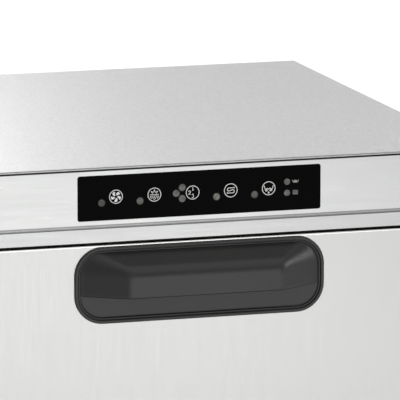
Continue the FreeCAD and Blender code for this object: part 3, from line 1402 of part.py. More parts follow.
def dosing_pumps():
    """Detergent and rinse-aid hose pumps on the base tray."""
    made = []
    low_x = "-side + pumps_in"
    for name, y in (("detergent", "dosing_line"), ("rinse_aid", "dosing_line + pumps_w * 1.7")):
        box = block(name + "_box", (low_x, low_x + " + pumps_w"),
                    (f"{y} - pumps_w * 0.56", f"{y} + pumps_w * 0.56"),
                    ("tray_z", "tray_z + pumps_h"))
        head = rod(name + "_head", "x", (low_x + " + pumps_w", y, "tray_z + pumps_h * 0.57"), "pumps_w / 2",
                   "pumps_w / 2")
        made.append(fuse(name + "_pump", box, head))
    return together("dosing_pumps", *made)


def inlet_valve():
    """Solenoid valve behind the recess, with its threaded nipple through the wall."""
    x, z = "inlet_x", "port_z"
    nipple = rod("valve_nipple", "y", (x, "niche_y - inlet_d", z), "inlet_d / 2", "inlet_d + casing_t + inlet_out")
    case = block("valve_case", (x + " - inlet_d * 0.67", x + " + inlet_d * 0.67"),
                 ("niche_y - inlet_d * 1.78", "niche_y - inlet_d * 0.67"),
                 (z + " - inlet_d * 0.74", z + " + inlet_d * 0.74"))
    coil = rod("valve_coil", "z", (x, "niche_y - inlet_d * 1.22", z + " + inlet_d * 0.74"), "inlet_d * 0.55",
               "inlet_d * 1.25")
    bore = rod("valve_bore", "y", (x, "niche_y - inlet_d / 3", z), "inlet_bore / 2", "inlet_d + inlet_out")
    collars = port_collars("valve", x, z, "inlet_d")
    return cut("inlet_valve", fuse("valve_solid", nipple, case, coil, *collars), bore)


def port_collars(name, x, z, size):
    """Collars that clamp a fitting to the wall of the recess, behind it and in front of it."""
    radius = f"{size} / 2 + port_collar"
    return [rod(f"{name}_collar_{side}", "y", (x, y, z), radius, "port_collar_t")
            for side, y in (("inner", "niche_y - port_collar_t"), ("outer", "niche_y + casing_t"))]


def drain_spigot():
    """Hose tail for the drain, clamped in the wall of the recess."""
    start = ("niche_x", "niche_y - tail_d", "tail_z")
    tail = rod("tail_tube", "y", start, "tail_d / 2", "tail_d + casing_t + tail_out")
    bore = rod("tail_bore", "y", start, "tail_bore / 2", "tail_d + casing_t + tail_out")
    collars = port_collars("tail", "niche_x", "tail_z", "tail_d")
    return cut("drain_spigot", fuse("tail_solid", tail, *collars), bore)


def cable_gland():
    """Strain relief for the mains lead."""
    nut = "gland_d * 0.78"
    outline = [
        ("gland_bore / 2", f"-{nut}"), ("gland_d / 2", f"-{nut}"), ("gland_d / 2", "casing_t"), (nut, "casing_t"),
        (nut, "casing_t + gland_out / 3"), ("gland_d * 0.7", "casing_t + gland_out * 0.45"),
        ("gland_d * 0.56", "casing_t + gland_out"), ("gland_bore / 2", "casing_t + gland_out"),
    ]
    return turned("cable_gland", "y", ("gland_x", "niche_y", "port_z"), outline)


def terminal_block():
    """Mains terminals on the base tray behind the gland."""
    front, back, top = "niche_y - 3 * way_dx - way_len", "niche_y - 3 * way_dx", "tray_z + way_dx * 1.7"
    base = block("terminal_base", ("gland_x - 2.7 * way_dx", "gland_x + 2.7 * way_dx"), (front, back),
                 ("tray_z", top))
    ways = [block(f"terminal_{step + 2}",
                  (f"gland_x + ({step} - 0.38) * way_dx", f"gland_x + ({step} + 0.38) * way_dx"),
                  (front + " + way_dx / 3", back + " - way_dx / 3"), (top, top + " + way_dx"))
            for step in range(-2, 3)]
    return fuse("terminal_block", base, *ways)


def rinse_pipe():
    """Fresh-water pipe from the boiler to the upper hub."""
    start = "boiler_z + boiler_d / 2 + spigot_up"
    high = "hub_z + pipe_d * 1.5 + rinse_pipe_d"
    beside = "cap_d / 2 - cap_up"
    run = [
        ("boiler_x", "boiler_spigot", start), ("boiler_x", "boiler_spigot", start + " + pipe_d"),
        ("boiler_x", "gap_y", start + " + 2 * pipe_d"), ("boiler_x", "gap_y", high),
        (beside, "centre_y", high), (beside, "centre_y", "hub_z"),
    ]
    bends = ["rinse_pipe_d * 1.4"] * 2 + ["rinse_pipe_d * 2"] * 2
    return tube("rinse_pipe", run, bends, "rinse_pipe_d", "casing_t")


def dish_basket():
    """Open moulded basket with a grid floor and windows in its sides."""
    basket = body("dish_basket")
    half = "basket_w / 2"
    y = ("basket_y", "basket_y + basket_w")
    top = "basket_z + basket_h"
    slab(basket, "XY", "basket_z", top, rounded((f"-{half}", half), y, "basket_r"))
    carve(basket, "XY", top, "basket_z + basket_wall",
          rounded((f"-{half} + basket_wall", f"{half} - basket_wall"),
                  (f"{y[0]} + basket_wall", f"{y[1]} - basket_wall"), "basket_r - basket_wall"))
    rows = 10
    middle_y = "basket_y + basket_w / 2"
    first = f"-{(rows - 1) / 2} * cell_pitch"
    floor_y = f"{middle_y} - {(rows - 1) / 2} * cell_pitch"
    cell = carve(basket, "XY", "basket_z + basket_wall", "basket_z",
                 rect((f"{first} - cell_open / 2", f"{first} + cell_open / 2"),
                      (f"{floor_y} - cell_open / 2", f"{floor_y} + cell_open / 2")))
    repeat(basket, cell, ("X", "cell_pitch", rows), ("Y", "cell_pitch", rows))
    window_z = ("basket_z + window_low", "basket_z + window_low + window_h")
    front_window = carve(basket, "XZ", y[0], y[1],
                         rect((f"{first} - cell_open / 2", f"{first} + cell_open / 2"), window_z))
    repeat(basket, front_window, ("X", "cell_pitch", rows), ("Z", "window_pitch", 2))
    side_window = carve(basket, "YZ", f"-{half}", half,
                        rect((f"{floor_y} - cell_open / 2", f"{floor_y} + cell_open / 2"), window_z))
    repeat(basket, side_window, ("Y", "cell_pitch", rows), ("Z", "window_pitch", 2))
    return basket


parts = [
    base_tray(), side_panel("side_panel_left", -1), side_panel("side_panel_right", 1), rear_panel(),
    connection_niche(), top_panel(), control_fascia(), front_strip(), lower_panel(), casing_screws(),
    control_overlay(), indicator_lenses(), board_housing(), control_board(),
    door_outer_skin(), door_inner_skin(), door_handle(), door_catch(),
    wash_chamber(), tank_sump(), chamber_gasket(),
    together("rack_rails", rack_rail("rail_left", -1), rack_rail("rail_right", 1)),
    together("tank_filters", tank_filter("filter_left", -1), tank_filter("filter_right", 1)),
    strainer_basket(), overflow_pipe(),
    lower_manifold(), upper_manifold(), arm_nuts(),
    wash_arm("lower_wash_arm", "room_floor", 1, "stage_up"),
    rinse_arm("lower_rinse_arm", "room_floor", 1, "stage_up"),
    wash_arm("upper_wash_arm", "room_top", -1, "stage_down"),
    rinse_arm("upper_rinse_arm", "room_top", -1, "stage_down"),
    riser_pipe(), suction_hose(), wash_pump_volute(), wash_pump_motor(), boiler(), boiler_heater(), tank_heater(),
    drain_pump(), dosing_pumps(), inlet_valve(), drain_spigot(), cable_gland(), terminal_block(), rinse_pipe(),
    dish_basket(),
]
parts += feet() + key_caps() + hinge_parts()
doc.recompute()

for obj in doc.Objects:
    if "Invalid" in obj.State or "Error" in obj.State:
        raise RuntimeError(f"{obj.Label} failed to build: {obj.State}")
for part in parts:
    if part.Shape.isNull() or not part.Shape.isValid():
        raise RuntimeError(f"{part.Label} has no valid shape")

os.makedirs("parts", exist_ok=True)
for part in parts:
    part.Shape.exportStep(f"parts/{part.Label}.step")
    print(f"{part.Label}: {len(part.Shape.Solids)} solids, {part.Shape.Volume / 1000:.1f} cm3")
print(len(parts), "sub-parts")
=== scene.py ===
# %% [markdown]
# # Dressing an undercounter dishwasher
# The machine's solids come in as a fixed frame: sheet steel, mouldings, rubber, arms and pumps, each
# already in its place and on its joint. This lesson gives every one of them the finish of the real
# material and makes the pieces whose form a plain solid only hints at: the cup handle, the prints on
# the keys, the gasket and the basket. Everything is in metres, and the front of the machine faces -Y.

# %% Load the frame
import math

import bmesh
import bpy
import numpy as np
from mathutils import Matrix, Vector


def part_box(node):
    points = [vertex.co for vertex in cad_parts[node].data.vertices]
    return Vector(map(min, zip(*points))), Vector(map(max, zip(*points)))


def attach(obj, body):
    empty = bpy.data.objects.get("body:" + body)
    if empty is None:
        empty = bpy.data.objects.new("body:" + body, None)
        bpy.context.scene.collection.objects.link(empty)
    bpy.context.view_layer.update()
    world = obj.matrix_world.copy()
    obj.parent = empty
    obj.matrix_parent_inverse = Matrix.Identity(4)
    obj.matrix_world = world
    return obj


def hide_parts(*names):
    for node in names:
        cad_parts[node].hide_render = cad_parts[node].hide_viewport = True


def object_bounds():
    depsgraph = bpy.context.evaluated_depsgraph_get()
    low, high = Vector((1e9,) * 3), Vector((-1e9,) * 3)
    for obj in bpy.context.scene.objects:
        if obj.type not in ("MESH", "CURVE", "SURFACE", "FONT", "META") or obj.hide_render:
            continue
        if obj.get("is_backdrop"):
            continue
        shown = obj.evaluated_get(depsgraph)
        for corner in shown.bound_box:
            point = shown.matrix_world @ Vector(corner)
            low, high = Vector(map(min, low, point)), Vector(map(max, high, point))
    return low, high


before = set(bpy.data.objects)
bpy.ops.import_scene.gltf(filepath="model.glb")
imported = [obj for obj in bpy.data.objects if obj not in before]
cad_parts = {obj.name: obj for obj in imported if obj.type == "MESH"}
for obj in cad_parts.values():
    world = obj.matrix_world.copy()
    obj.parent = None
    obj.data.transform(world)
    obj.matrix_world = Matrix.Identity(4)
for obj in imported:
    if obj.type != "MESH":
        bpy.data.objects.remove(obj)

MM = 0.001
cad_box = [list(corner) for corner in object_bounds()]
print("solids:", len(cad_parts), "box in mm:", [[round(c / MM, 1) for c in end] for end in cad_box])

# %% [markdown]
# ## The camera
# A product photograph of a flat front is taken from far away with a long lens, so that the edges stay
# nearly parallel. The numbers come from fitting a camera to the edges of the lid, the black overlay,
# the door and the handle.

# %% The camera
PICTURE, FOCAL_PIXELS, SENSOR = 400, 5256, 36.0


def stand(name, data):
    """An object in the scene."""
    obj = bpy.data.objects.new(name, data)
    bpy.context.scene.collection.objects.link(obj)
    return obj


camera = stand("camera", bpy.data.cameras.new("camera"))
camera.data.sensor_width = SENSOR
camera.data.lens = SENSOR * FOCAL_PIXELS / PICTURE
camera.data.clip_end = 100.0
camera.location = (-1.5560, -5.3794, 1.7664)
camera.rotation_euler = Vector((0.2876, 0.9403, -0.1822)).to_track_quat("-Z", "Y").to_euler()
bpy.context.scene.camera = camera
print("lens", round(camera.data.lens, 1), "mm at", round(camera.location.length, 2), "m from the origin")

# %% [markdown]
# ## Helpers for every node tree
# Colour pickers give sRGB hex values and a shader wants linear light, so one function turns the one
# into the other, and the standard view transform shows the colours as they were picked. Another adds a
# node with its settings and its sockets in one call. Most finishes are laid out in the object's own
# space, so a new material brings those coordinates along.

# %% Colour and node helpers
bpy.context.scene.view_settings.view_transform = "Standard"


def colour(code):
    """An sRGB hex value as the linear colour that a shader takes."""
    steps = [int(code[start:start + 2], 16) / 255 for start in (1, 3, 5)]
    return tuple(s / 12.92 if s <= 0.04045 else ((s + 0.055) / 1.055) ** 2.4 for s in steps) + (1.0,)


def fill(tree, node, sockets):
    """Give sockets a number, a colour, an output, or a node for its first output."""
    for key, value in sockets.items():
        if isinstance(value, bpy.types.Node):
            value = value.outputs[0]
        if isinstance(value, bpy.types.NodeSocket):
            tree.links.new(value, node.inputs[key])
        else:
            node.inputs[key].default_value = value


def put(tree, kind, sockets=None, **settings):
    """Add a node to a tree."""
    node = tree.nodes.new(kind)
    for name, value in settings.items():
        setattr(node, name, value)
    fill(tree, node, sockets or {})
    return node


def material(name, **constants):
    """A material with one principled shader, and the object's own coordinates to lay it out."""
    made = bpy.data.materials.new(name)
    made.use_nodes = True
    tree = made.node_tree
    tree.nodes.clear()
    shader = put(tree, "ShaderNodeBsdfPrincipled",
                 {key.replace("_", " "): value for key, value in constants.items()})
    put(tree, "ShaderNodeOutputMaterial", {"Surface": shader})
    return made, tree, shader, put(tree, "ShaderNodeTexCoord").outputs["Object"]


NOISE = {1: 0.3, 2: 0.7}   # a noise texture hardly leaves this range, so it is mapped from there


print("mid grey #808080 is", round(colour("#808080")[0], 4), "in linear light")

# %% [markdown]
# ## Floor and light
# The studio is a pale floor in an even, dim room, and soft panels do the rest. Steel shows only what
# it mirrors, so each panel has one job. A broad panel and a low strip in front are what the fascia and
# the door mirror. One high at the back whitens the floor that the camera sees past the machine and is
# what the lid mirrors. A card behind it, to the left, makes the lid fade from left to right. One
# overhead gives the slope of the handle its grey, and a small one at the right draws the streak on its
# corner. Light adds up, so their strengths follow from renders of each one alone.

# %% Floor
stage = bpy.data.meshes.new("studio_floor")
HALF_FLOOR = 30.0
corners = [(x * HALF_FLOOR, y * HALF_FLOOR, 0.0) for x, y in ((-1, -1), (1, -1), (1, 1), (-1, 1))]
stage.from_pydata(corners, [], [(0, 1, 2, 3)])
floor = stand("studio_floor", stage)
painted, tree, shader, where = material("matt_white_floor_paint", Roughness=0.9, Specular_IOR_Level=0.2)
mottle = put(tree, "ShaderNodeTexNoise", {"Vector": where, "Scale": 0.8, "Detail": 2.0})
tint = put(tree, "ShaderNodeMix", {0: mottle, 6: colour("#f8f8f8"), 7: colour("#fdfdfd")},
           data_type="RGBA")
fill(tree, shader, {"Base Color": tint.outputs[2]})
stage.materials.append(painted)
floor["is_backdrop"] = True
print("floor of", floor.dimensions[0], "m")

# %% Light
world = bpy.data.worlds.new("studio")
bpy.context.scene.world = world
world.use_nodes = True
tree = world.node_tree
tree.nodes.clear()
sky = put(tree, "ShaderNodeBackground", {"Color": (1.0, 1.0, 1.0, 1.0), "Strength": 0.31})
put(tree, "ShaderNodeOutputWorld", {"Surface": sky})


def soft_panel(name, place, target, width, height, radiance):
    """A soft light panel that faces a point and is not seen itself. Its power follows from its size."""
    lamp = stand(name, bpy.data.lights.new(name, "AREA"))
    lamp.data.shape = "RECTANGLE"
    lamp.data.size, lamp.data.size_y = width, height
    lamp.data.energy = radiance * math.pi * width * height
    lamp.location = place
    lamp.rotation_euler = (Vector(target) - Vector(place)).to_track_quat("-Z", "Y").to_euler()
    lamp.visible_camera = False


soft_panel("front_panel", (0.05, -2.2, 0.55), (0.05, -0.3, 0.55), 1.5, 1.0, 0.64)
soft_panel("front_low", (0.95, -2.1, 0.30), (0.15, -0.3, 0.55), 2.6, 0.5, 0.84)
soft_panel("over_head", (0.2, -1.0, 2.95), (0.0, -0.3, 0.75), 3.4, 3.6, 0.47)
soft_panel("back_ceiling", (1.4, 4.6, 5.0), (1.4, 4.6, 0.0), 6.0, 6.0, 2.78)
soft_panel("lid_card", (-0.3, 1.8, 1.75), (0.0, 0.0, 0.82), 1.4, 0.5, 3.90)
soft_panel("right_key", (2.2, -1.05, 1.25), (0.1, -0.3, 0.72), 0.5, 0.5, 8.00)

# %% [markdown]
# ## Stainless steel sheet
# Lid, front, door and sides are austenitic stainless, but each face has its own finish. The lid is
# ground with a random orbital pad: no direction, only a fine speckle. The fascia and the strip keep a
# satin grain along their length, and the door is brushed up and down. The chamber is cold-rolled
# sheet, smooth and slightly cloudy. One function makes them all, because they differ only in the size
# of the scratches: it stretches one noise by that size and lets it move the colour, the roughness and a
# shallow bump. A second, broad noise gives the clouds that rolling leaves. A metal keeps the default IOR.
#
# Bent sheet is not equally bright all over. A fold that turns away mirrors the dark underside of its
# neighbour, the floor of a joint lies in shade, and a rounded edge catches the light as a fine white
# line. That light and shade is painted into the colour as bands at a known height and depth, and the
# function takes a list of them: middle and half width along Z and along Y in mm, and how much the
# painted shade darkens or the painted light lightens the steel there. The strip under the fascia is a
# slightly darker sheet, and the door's hem is painted far brighter than steel as a painted highlight.

# %% Steel finishes


def steel(name, code, roughness, scratch, contrast, cloud=0.02, dent=0.02, bands=()):
    """Stainless or plated sheet. scratch is the size of one scratch along X, Y and Z in mm."""
    made, tree, shader, where = material(name, Metallic=1.0)
    stretched = put(tree, "ShaderNodeMapping",
                    {"Vector": where, "Scale": [0.5 / (length * MM) for length in scratch]})
    grain = put(tree, "ShaderNodeTexNoise",
                {"Vector": stretched, "Scale": 1.0, "Detail": 3.0, "Roughness": 0.6})
    clouds = put(tree, "ShaderNodeTexNoise", {"Vector": where, "Scale": 7.0, "Detail": 2.0})
    level = put(tree, "ShaderNodeMapRange",
                {"Value": grain, **NOISE, 3: 1.0 - contrast, 4: 1.0 + contrast})
    drift = put(tree, "ShaderNodeMapRange", {"Value": clouds, **NOISE, 3: 1.0 - cloud, 4: 1.0 + cloud})
    both = put(tree, "ShaderNodeMath", {0: level, 1: drift}, operation="MULTIPLY")
    axes = put(tree, "ShaderNodeSeparateXYZ", {0: where})
    # painted light and shade: each band scales the steel's colour where shade or a highlight falls
    for z_middle, z_half, y_middle, y_half, shade in bands:
        near = [put(tree, "ShaderNodeMath", {0: axes.outputs[axis], 1: middle * MM, 2: half * MM},
                    operation="COMPARE")
                for axis, middle, half in (("Z", z_middle, z_half), ("Y", y_middle, y_half))]
        inside = put(tree, "ShaderNodeMath", {0: near[0], 1: near[1]}, operation="MULTIPLY")
        factor = put(tree, "ShaderNodeMapRange", {"Value": inside, 3: 1.0, 4: shade})
        both = put(tree, "ShaderNodeMath", {0: both, 1: factor}, operation="MULTIPLY")
    tint = put(tree, "ShaderNodeVectorMath", {0: colour(code)[:3], "Scale": both}, operation="SCALE")
    polish = put(tree, "ShaderNodeMapRange",
                 {"Value": grain, **NOISE, 3: roughness - 0.03, 4: roughness + 0.03})
    relief = put(tree, "ShaderNodeBump", {"Strength": dent, "Distance": 0.1 * MM, "Height": grain})
    fill(tree, shader, {"Base Color": tint, "Roughness": polish, "Normal": relief})
    return made


# painted shade on the lid's front edge: a dark line where the rounded edge mirrors dark, and a darker front
# face
lid_painted_shade = [(819.75, 0.45, -290.9, 0.75, 0.45), (818.65, 0.65, -291.5, 0.4, 0.92)]
# painted shadow in the gap under the lid; in the groove under the fascia, painted shade above and painted light
# below, to make it an even grey
fascia_painted_light_and_shade = [(z, half, -280.0, 12.0, shade) for z, half, shade in (
    (816.6, 0.45, 0.12), (759.05, 1.35, 0.45), (757.17, 0.52, 1.12), (756.35, 0.30, 1.55))]
# painted shadow: the door's top face under the strip, nearly black
door_painted_shadow = [(738.9, 0.3, -286.6, 4.2, 0.06)]
ground_stainless = steel("ground_stainless_304", "#bcbcbc", 0.38, (1.5, 1.2, 1.2), 0.150, 0.006,
                         bands=lid_painted_shade)
satin_stainless = steel("satin_stainless_304", "#c9cac9", 0.30, (26.0, 1.2, 1.2), 0.008, 0.008, 0.005,
                        fascia_painted_light_and_shade)
strip_stainless = steel("satin_stainless_304_strip", "#c0c1c0", 0.30, (26.0, 1.2, 1.2), 0.008, 0.008, 0.005)
brushed_stainless = steel("brushed_stainless_304", "#c9c9c8", 0.32, (0.9, 0.9, 30.0), 0.014, 0.006,
                          bands=door_painted_shadow)
casing_stainless = steel("fine_brushed_stainless_304", "#c5c6c5", 0.34, (1.0, 1.0, 40.0), 0.018, 0.008)
# painted highlight: steel far brighter than stainless, for the white line of light on the door's top fold
hem_painted_highlight_steel = steel("stainless_304_painted_highlight", "#f6f6f4", 0.20, (26.0, 1.0, 1.0), 0.010, 0.004)
rolled_stainless = steel("cold_rolled_stainless_304", "#c4c6c5", 0.24, (9.0, 9.0, 9.0), 0.030, 0.030, 0.01)
print("steels:", [m.name for m in bpy.data.materials if "stainless" in m.name])

# %% [markdown]
# ## Zinc, brass and aluminium
# The tray, the rear panel and the recess are hot-dip galvanised: zinc freezes into crystals a
# centimetre or so across, each with its own grey. Voronoi cells draw them. Screws, pins and brackets
# are plated, so they are smoother and a little blue. Springs are oiled, the valve is turned brass, and
# the motor is cast aluminium with a sand-like skin. Plated, oiled and turned parts reuse the steel
# function.

# %% Other metals
zinc_plate = steel("zinc_plated_steel", "#c3c8cc", 0.30, (2.0, 2.0, 2.0), 0.06, 0.03)
oiled_spring = steel("oiled_spring_steel", "#6e6c68", 0.36, (0.8, 0.8, 0.8), 0.12, 0.08)
turned_brass = steel("turned_brass", "#c8a45c", 0.28, (1.0, 6.0, 1.0), 0.06, 0.04)

spangled_zinc, tree, shader, where = material("hot_dip_galvanised_steel", Metallic=1.0)
wander = put(tree, "ShaderNodeTexNoise", {"Vector": where, "Scale": 60.0, "Detail": 2.0})
bent = put(tree, "ShaderNodeVectorMath", {0: wander.outputs[1], "Scale": 0.006}, operation="SCALE")
shifted = put(tree, "ShaderNodeVectorMath", {0: where, 1: bent}, operation="ADD")
crystal = put(tree, "ShaderNodeTexVoronoi", {"Vector": shifted, "Scale": 1 / (10.0 * MM)})
one = put(tree, "ShaderNodeSeparateColor", {0: crystal.outputs["Color"]})
tint = put(tree, "ShaderNodeMix", {0: one, 6: colour("#b2b6b8"), 7: colour("#c6cacb")}, data_type="RGBA")
dull = put(tree, "ShaderNodeMapRange", {"Value": one.outputs[1], 3: 0.34, 4: 0.50})
fill(tree, shader, {"Base Color": tint.outputs[2], "Roughness": dull})

cast_aluminium, tree, shader, where = material("die_cast_aluminium", Metallic=1.0)
skin = put(tree, "ShaderNodeTexNoise", {"Vector": where, "Scale": 1 / (1.5 * MM), "Detail": 4.0})
tint = put(tree, "ShaderNodeMix", {0: skin, 6: colour("#8d8f90"), 7: colour("#b4b6b7")}, data_type="RGBA")
grit = put(tree, "ShaderNodeMapRange", {"Value": skin, 3: 0.42, 4: 0.62})
relief = put(tree, "ShaderNodeBump", {"Strength": 0.5, "Distance": 0.3 * MM, "Height": skin})
fill(tree, shader, {"Base Color": tint.outputs[2], "Roughness": grit, "Normal": relief})
print("metals:", len(bpy.data.materials))

# %% [markdown]
# ## Mouldings and rubber
# The handle is glass-filled nylon moulded in a spark-eroded tool: matt, with a texture of about half a
# millimetre. Housings and pumps are grey polypropylene, the feet black, the basket blue. The seal is
# extruded EPDM. A moulding's colour hardly varies, so its texture comes from the roughness and the
# bump, plus a faint mottle where the melt met, and it is drawn a little coarser than real to show.

# %% Plastics and rubber


def moulding(name, dark, light, roughness, texture, relief_depth, gloss=0.5):
    """A moulded plastic or rubber. texture is the size of its surface grain in mm."""
    made, tree, shader, where = material(name, IOR=1.5, Specular_IOR_Level=gloss)
    grain = put(tree, "ShaderNodeTexNoise", {"Vector": where, "Scale": 0.5 / (texture * MM),
                                             "Detail": 3.0, "Roughness": 0.6})
    flow = put(tree, "ShaderNodeTexNoise", {"Vector": where, "Scale": 12.0, "Detail": 2.0})
    blend = put(tree, "ShaderNodeMath", {0: grain, 1: flow}, operation="MULTIPLY")
    spread = put(tree, "ShaderNodeMapRange", {"Value": blend, 1: 0.12, 2: 0.40})
    tint = put(tree, "ShaderNodeMix", {0: spread, 6: colour(dark), 7: colour(light)}, data_type="RGBA")
    matt = put(tree, "ShaderNodeMapRange", {"Value": grain, **NOISE, 3: roughness - 0.05,
                                            4: roughness + 0.05})
    relief = put(tree, "ShaderNodeBump", {"Strength": relief_depth, "Distance": 0.2 * MM, "Height": grain})
    fill(tree, shader, {"Base Color": tint.outputs[2], "Roughness": matt, "Normal": relief})
    return made


black_nylon = moulding("black_glass_filled_nylon", "#212020", "#272625", 0.38, 0.8, 0.25, 0.63)
black_abs = moulding("black_abs", "#1d1d1d", "#232323", 0.50, 0.7, 0.20)
foot_plastic = moulding("black_polypropylene", "#202020", "#292929", 0.55, 1.0, 0.25)
grey_plastic = moulding("grey_polypropylene", "#8b8e90", "#989b9c", 0.45, 0.9, 0.15)
basket_plastic = moulding("blue_polypropylene", "#2f62a3", "#3a6fb2", 0.42, 0.9, 0.15)
seal_rubber = moulding("black_epdm_rubber", "#191919", "#212121", 0.62, 1.2, 0.30, 0.35)
print("mouldings:", [m.name for m in bpy.data.materials if "poly" in m.name or "nylon" in m.name])

# %% [markdown]
# ## Overlay, keys, lamps, ink and board
# The black front of the controls is printed polycarbonate: ink under a clear skin, very dark and even.
# The lamp windows are the same plastic left unprinted over a grey diffuser, so they look speckled. The
# ring and sign on each key are screen-printed, which leaves a slightly uneven white. The board behind
# is glass-epoxy with solder mask, woven at about 0.4 mm, and copper tracks that show as a lighter
# green.

# %% Control finishes
overlay_film = moulding("printed_polycarbonate", "#060606", "#070707", 0.22, 0.5, 0.02, 0.02)
lamp_window = moulding("diffusing_polycarbonate", "#3f3f3c", "#8e8e86", 0.40, 1.8, 0.10, 0.3)


def ink(name, code):
    """Screen-printed ink: flat, matt and faintly uneven."""
    made, tree, shader, where = material(name, Roughness=0.6, Specular_IOR_Level=0.2)
    speck = put(tree, "ShaderNodeTexNoise", {"Vector": where, "Scale": 1 / (0.9 * MM), "Detail": 2.0})
    cover = put(tree, "ShaderNodeMapRange", {"Value": speck, **NOISE, 3: 0.86, 4: 1.0})
    tint = put(tree, "ShaderNodeVectorMath", {0: colour(code)[:3], "Scale": cover}, operation="SCALE")
    fill(tree, shader, {"Base Color": tint})
    return made


white_ink, ring_ink = ink("white_screen_ink", "#ffffff"), ink("silver_screen_ink", "#fcfcfa")
grey_ink, black_ink = ink("grey_screen_ink", "#a8a8a5"), ink("black_screen_ink", "#060606")

solder_mask, tree, shader, where = material("green_solder_mask", Roughness=0.35)
weave = put(tree, "ShaderNodeTexWave", {"Vector": where, "Scale": 1 / (1.2 * MM), "Distortion": 0.5})
tracks = put(tree, "ShaderNodeTexBrick", {"Vector": where, "Scale": 1 / (9.0 * MM),
                                          "Color1": colour("#1f5a35"), "Color2": colour("#235f39"),
                                          "Mortar": colour("#3c7c4c"), "Mortar Size": 0.06})
relief = put(tree, "ShaderNodeBump", {"Strength": 0.2, "Distance": 0.1 * MM, "Height": weave})
fill(tree, shader, {"Base Color": tracks.outputs["Color"], "Normal": relief})
print("finishes:", len(bpy.data.materials))

# %% [markdown]
# ## Perforated plate
# The tank filters and the cup strainer are punched, with 3 mm holes 6 mm apart or a little finer. Real
# holes would be thousands of rings of mesh inside the tank, so the material draws them: it folds the
# place into one cell, measures the distance to its middle, and within the hole paints the shade of the
# tank seen through it, dark and matt. The cup is round, so its cells run over X, Y and Z alike.

# %% Perforated steel


def perforated(name, pitch, hole, axes):
    """Rolled stainless with punched holes, spaced by pitch and of the given diameter in mm."""
    made, tree, shader, where = material(name)
    scaled = put(tree, "ShaderNodeVectorMath", {0: where, "Scale": 1 / (pitch * MM)}, operation="SCALE")
    folded = put(tree, "ShaderNodeVectorMath", {0: scaled}, operation="FRACTION")
    middle = put(tree, "ShaderNodeVectorMath", {0: folded, 1: (0.5, 0.5, 0.5)}, operation="SUBTRACT")
    flat = put(tree, "ShaderNodeVectorMath", {0: middle, 1: axes}, operation="MULTIPLY")
    reach = put(tree, "ShaderNodeVectorMath", {0: flat}, operation="LENGTH")
    edge = hole / pitch / 2
    solid = put(tree, "ShaderNodeMapRange", {"Value": reach.outputs[1], 1: edge - 0.03, 2: edge + 0.03})
    # painted shade: the dark of the tank's shaded inside, seen through each hole
    tint = put(tree, "ShaderNodeMix", {0: solid, 6: colour("#1b1c1c"), 7: colour("#cfd1d0")}, data_type="RGBA")
    dull = put(tree, "ShaderNodeMapRange", {"Value": solid, 3: 0.9, 4: 0.28})
    relief = put(tree, "ShaderNodeBump", {"Strength": 0.6, "Distance": 0.5 * MM, "Height": solid})
    fill(tree, shader, {"Base Color": tint.outputs[2], "Metallic": solid, "Roughness": dull,
                        "Normal": relief})
    return made


filter_plate = perforated("perforated_stainless_plate", 6.0, 3.0, (1, 1, 0))
strainer_plate = perforated("perforated_stainless_cup", 5.0, 2.6, (0.7, 0.7, 1))
print("punched:", filter_plate.name, "and", strainer_plate.name)

# %% [markdown]
# ## Give each solid its finish
# A solid keeps its shape and only its material slots change. One that the table leaves out is printed.

# %% Finishes on the solids
dressed = {
    ground_stainless: "top_panel",
    satin_stainless: "control_fascia lower_front_panel",
    strip_stainless: "front_strip",
    brushed_stainless: "door_outer_skin",
    casing_stainless: "side_panel_left side_panel_right",
    rolled_stainless: "door_inner_skin wash_chamber tank_sump rack_rails lower_manifold upper_manifold "
                      "lower_wash_arm lower_rinse_arm upper_wash_arm upper_rinse_arm riser_pipe boiler "
                      "rinse_pipe",
    spangled_zinc: "base_tray rear_panel connection_niche",
    zinc_plate: "casing_screws hinge_brackets hinge_arms hinge_pins boiler_heater tank_heater",
    oiled_spring: "hinge_springs",
    turned_brass: "inlet_valve",
    cast_aluminium: "wash_pump_motor",
    overlay_film: "control_overlay key_cap_1 key_cap_2 key_cap_3 key_cap_4 key_cap_5",
    lamp_window: "indicator_lenses",
    solder_mask: "control_board",
    black_nylon: "door_handle",
    black_abs: "wash_pump_volute cable_gland",
    foot_plastic: "foot_front_left foot_front_right foot_rear_left foot_rear_right",
    grey_plastic: "board_housing door_catch overflow_pipe arm_nuts drain_pump dosing_pumps drain_spigot "
                  "terminal_block",
    basket_plastic: "dish_basket",
    seal_rubber: "chamber_gasket suction_hose",
    filter_plate: "tank_filters",
    strainer_plate: "strainer_basket",
}
for finish, names in dressed.items():
    for name in names.split():
        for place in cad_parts[name].material_slots:
            place.material = finish
left_plain = sorted(set(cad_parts) - {name for names in dressed.values() for name in names.split()})
print("solids dressed:", sum(len(names.split()) for names in dressed.values()), "left plain:", left_plain)

# %% [markdown]
# ## Making a mesh piece
# A piece made in code is a list of points and faces. The helper makes the object, smooths the shading
# up to a fold angle, so that edges stay crisp, and puts it on its body. Modifiers that finish a piece
# are evaluated here and the result kept as a plain mesh.

# %% Mesh helper


def piece(name, points, faces, finish, body, modifiers=(), fold=35):
    """A finished mesh at the origin that rides on a body. modifiers are (kind, settings) pairs."""
    mesh = bpy.data.meshes.new(name)
    mesh.from_pydata([tuple(point) for point in points], [], [tuple(face) for face in faces])
    mesh.materials.append(finish)
    return place_mesh(name, mesh, body, modifiers, fold)


def place_mesh(name, mesh, body, modifiers=(), fold=35):
    """Finish a mesh with modifiers, keep the result and let it ride on a body."""
    rough = stand(name + "_rough", mesh)
    for kind, settings in modifiers:
        step = rough.modifiers.new(kind, kind)
        for key, value in settings.items():
            setattr(step, key, value)
    made = bpy.data.meshes.new_from_object(rough.evaluated_get(bpy.context.evaluated_depsgraph_get()))
    bpy.data.objects.remove(rough)
    made.name = name
    made.polygons.foreach_set("use_smooth", [True] * len(made.polygons))
    made.set_sharp_from_angle(angle=math.radians(fold))
    obj = stand(name, made)
    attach(obj, body)
    made.calc_loop_triangles()
    print(name, "on", body, "triangles:", len(made.loop_triangles))
    return obj


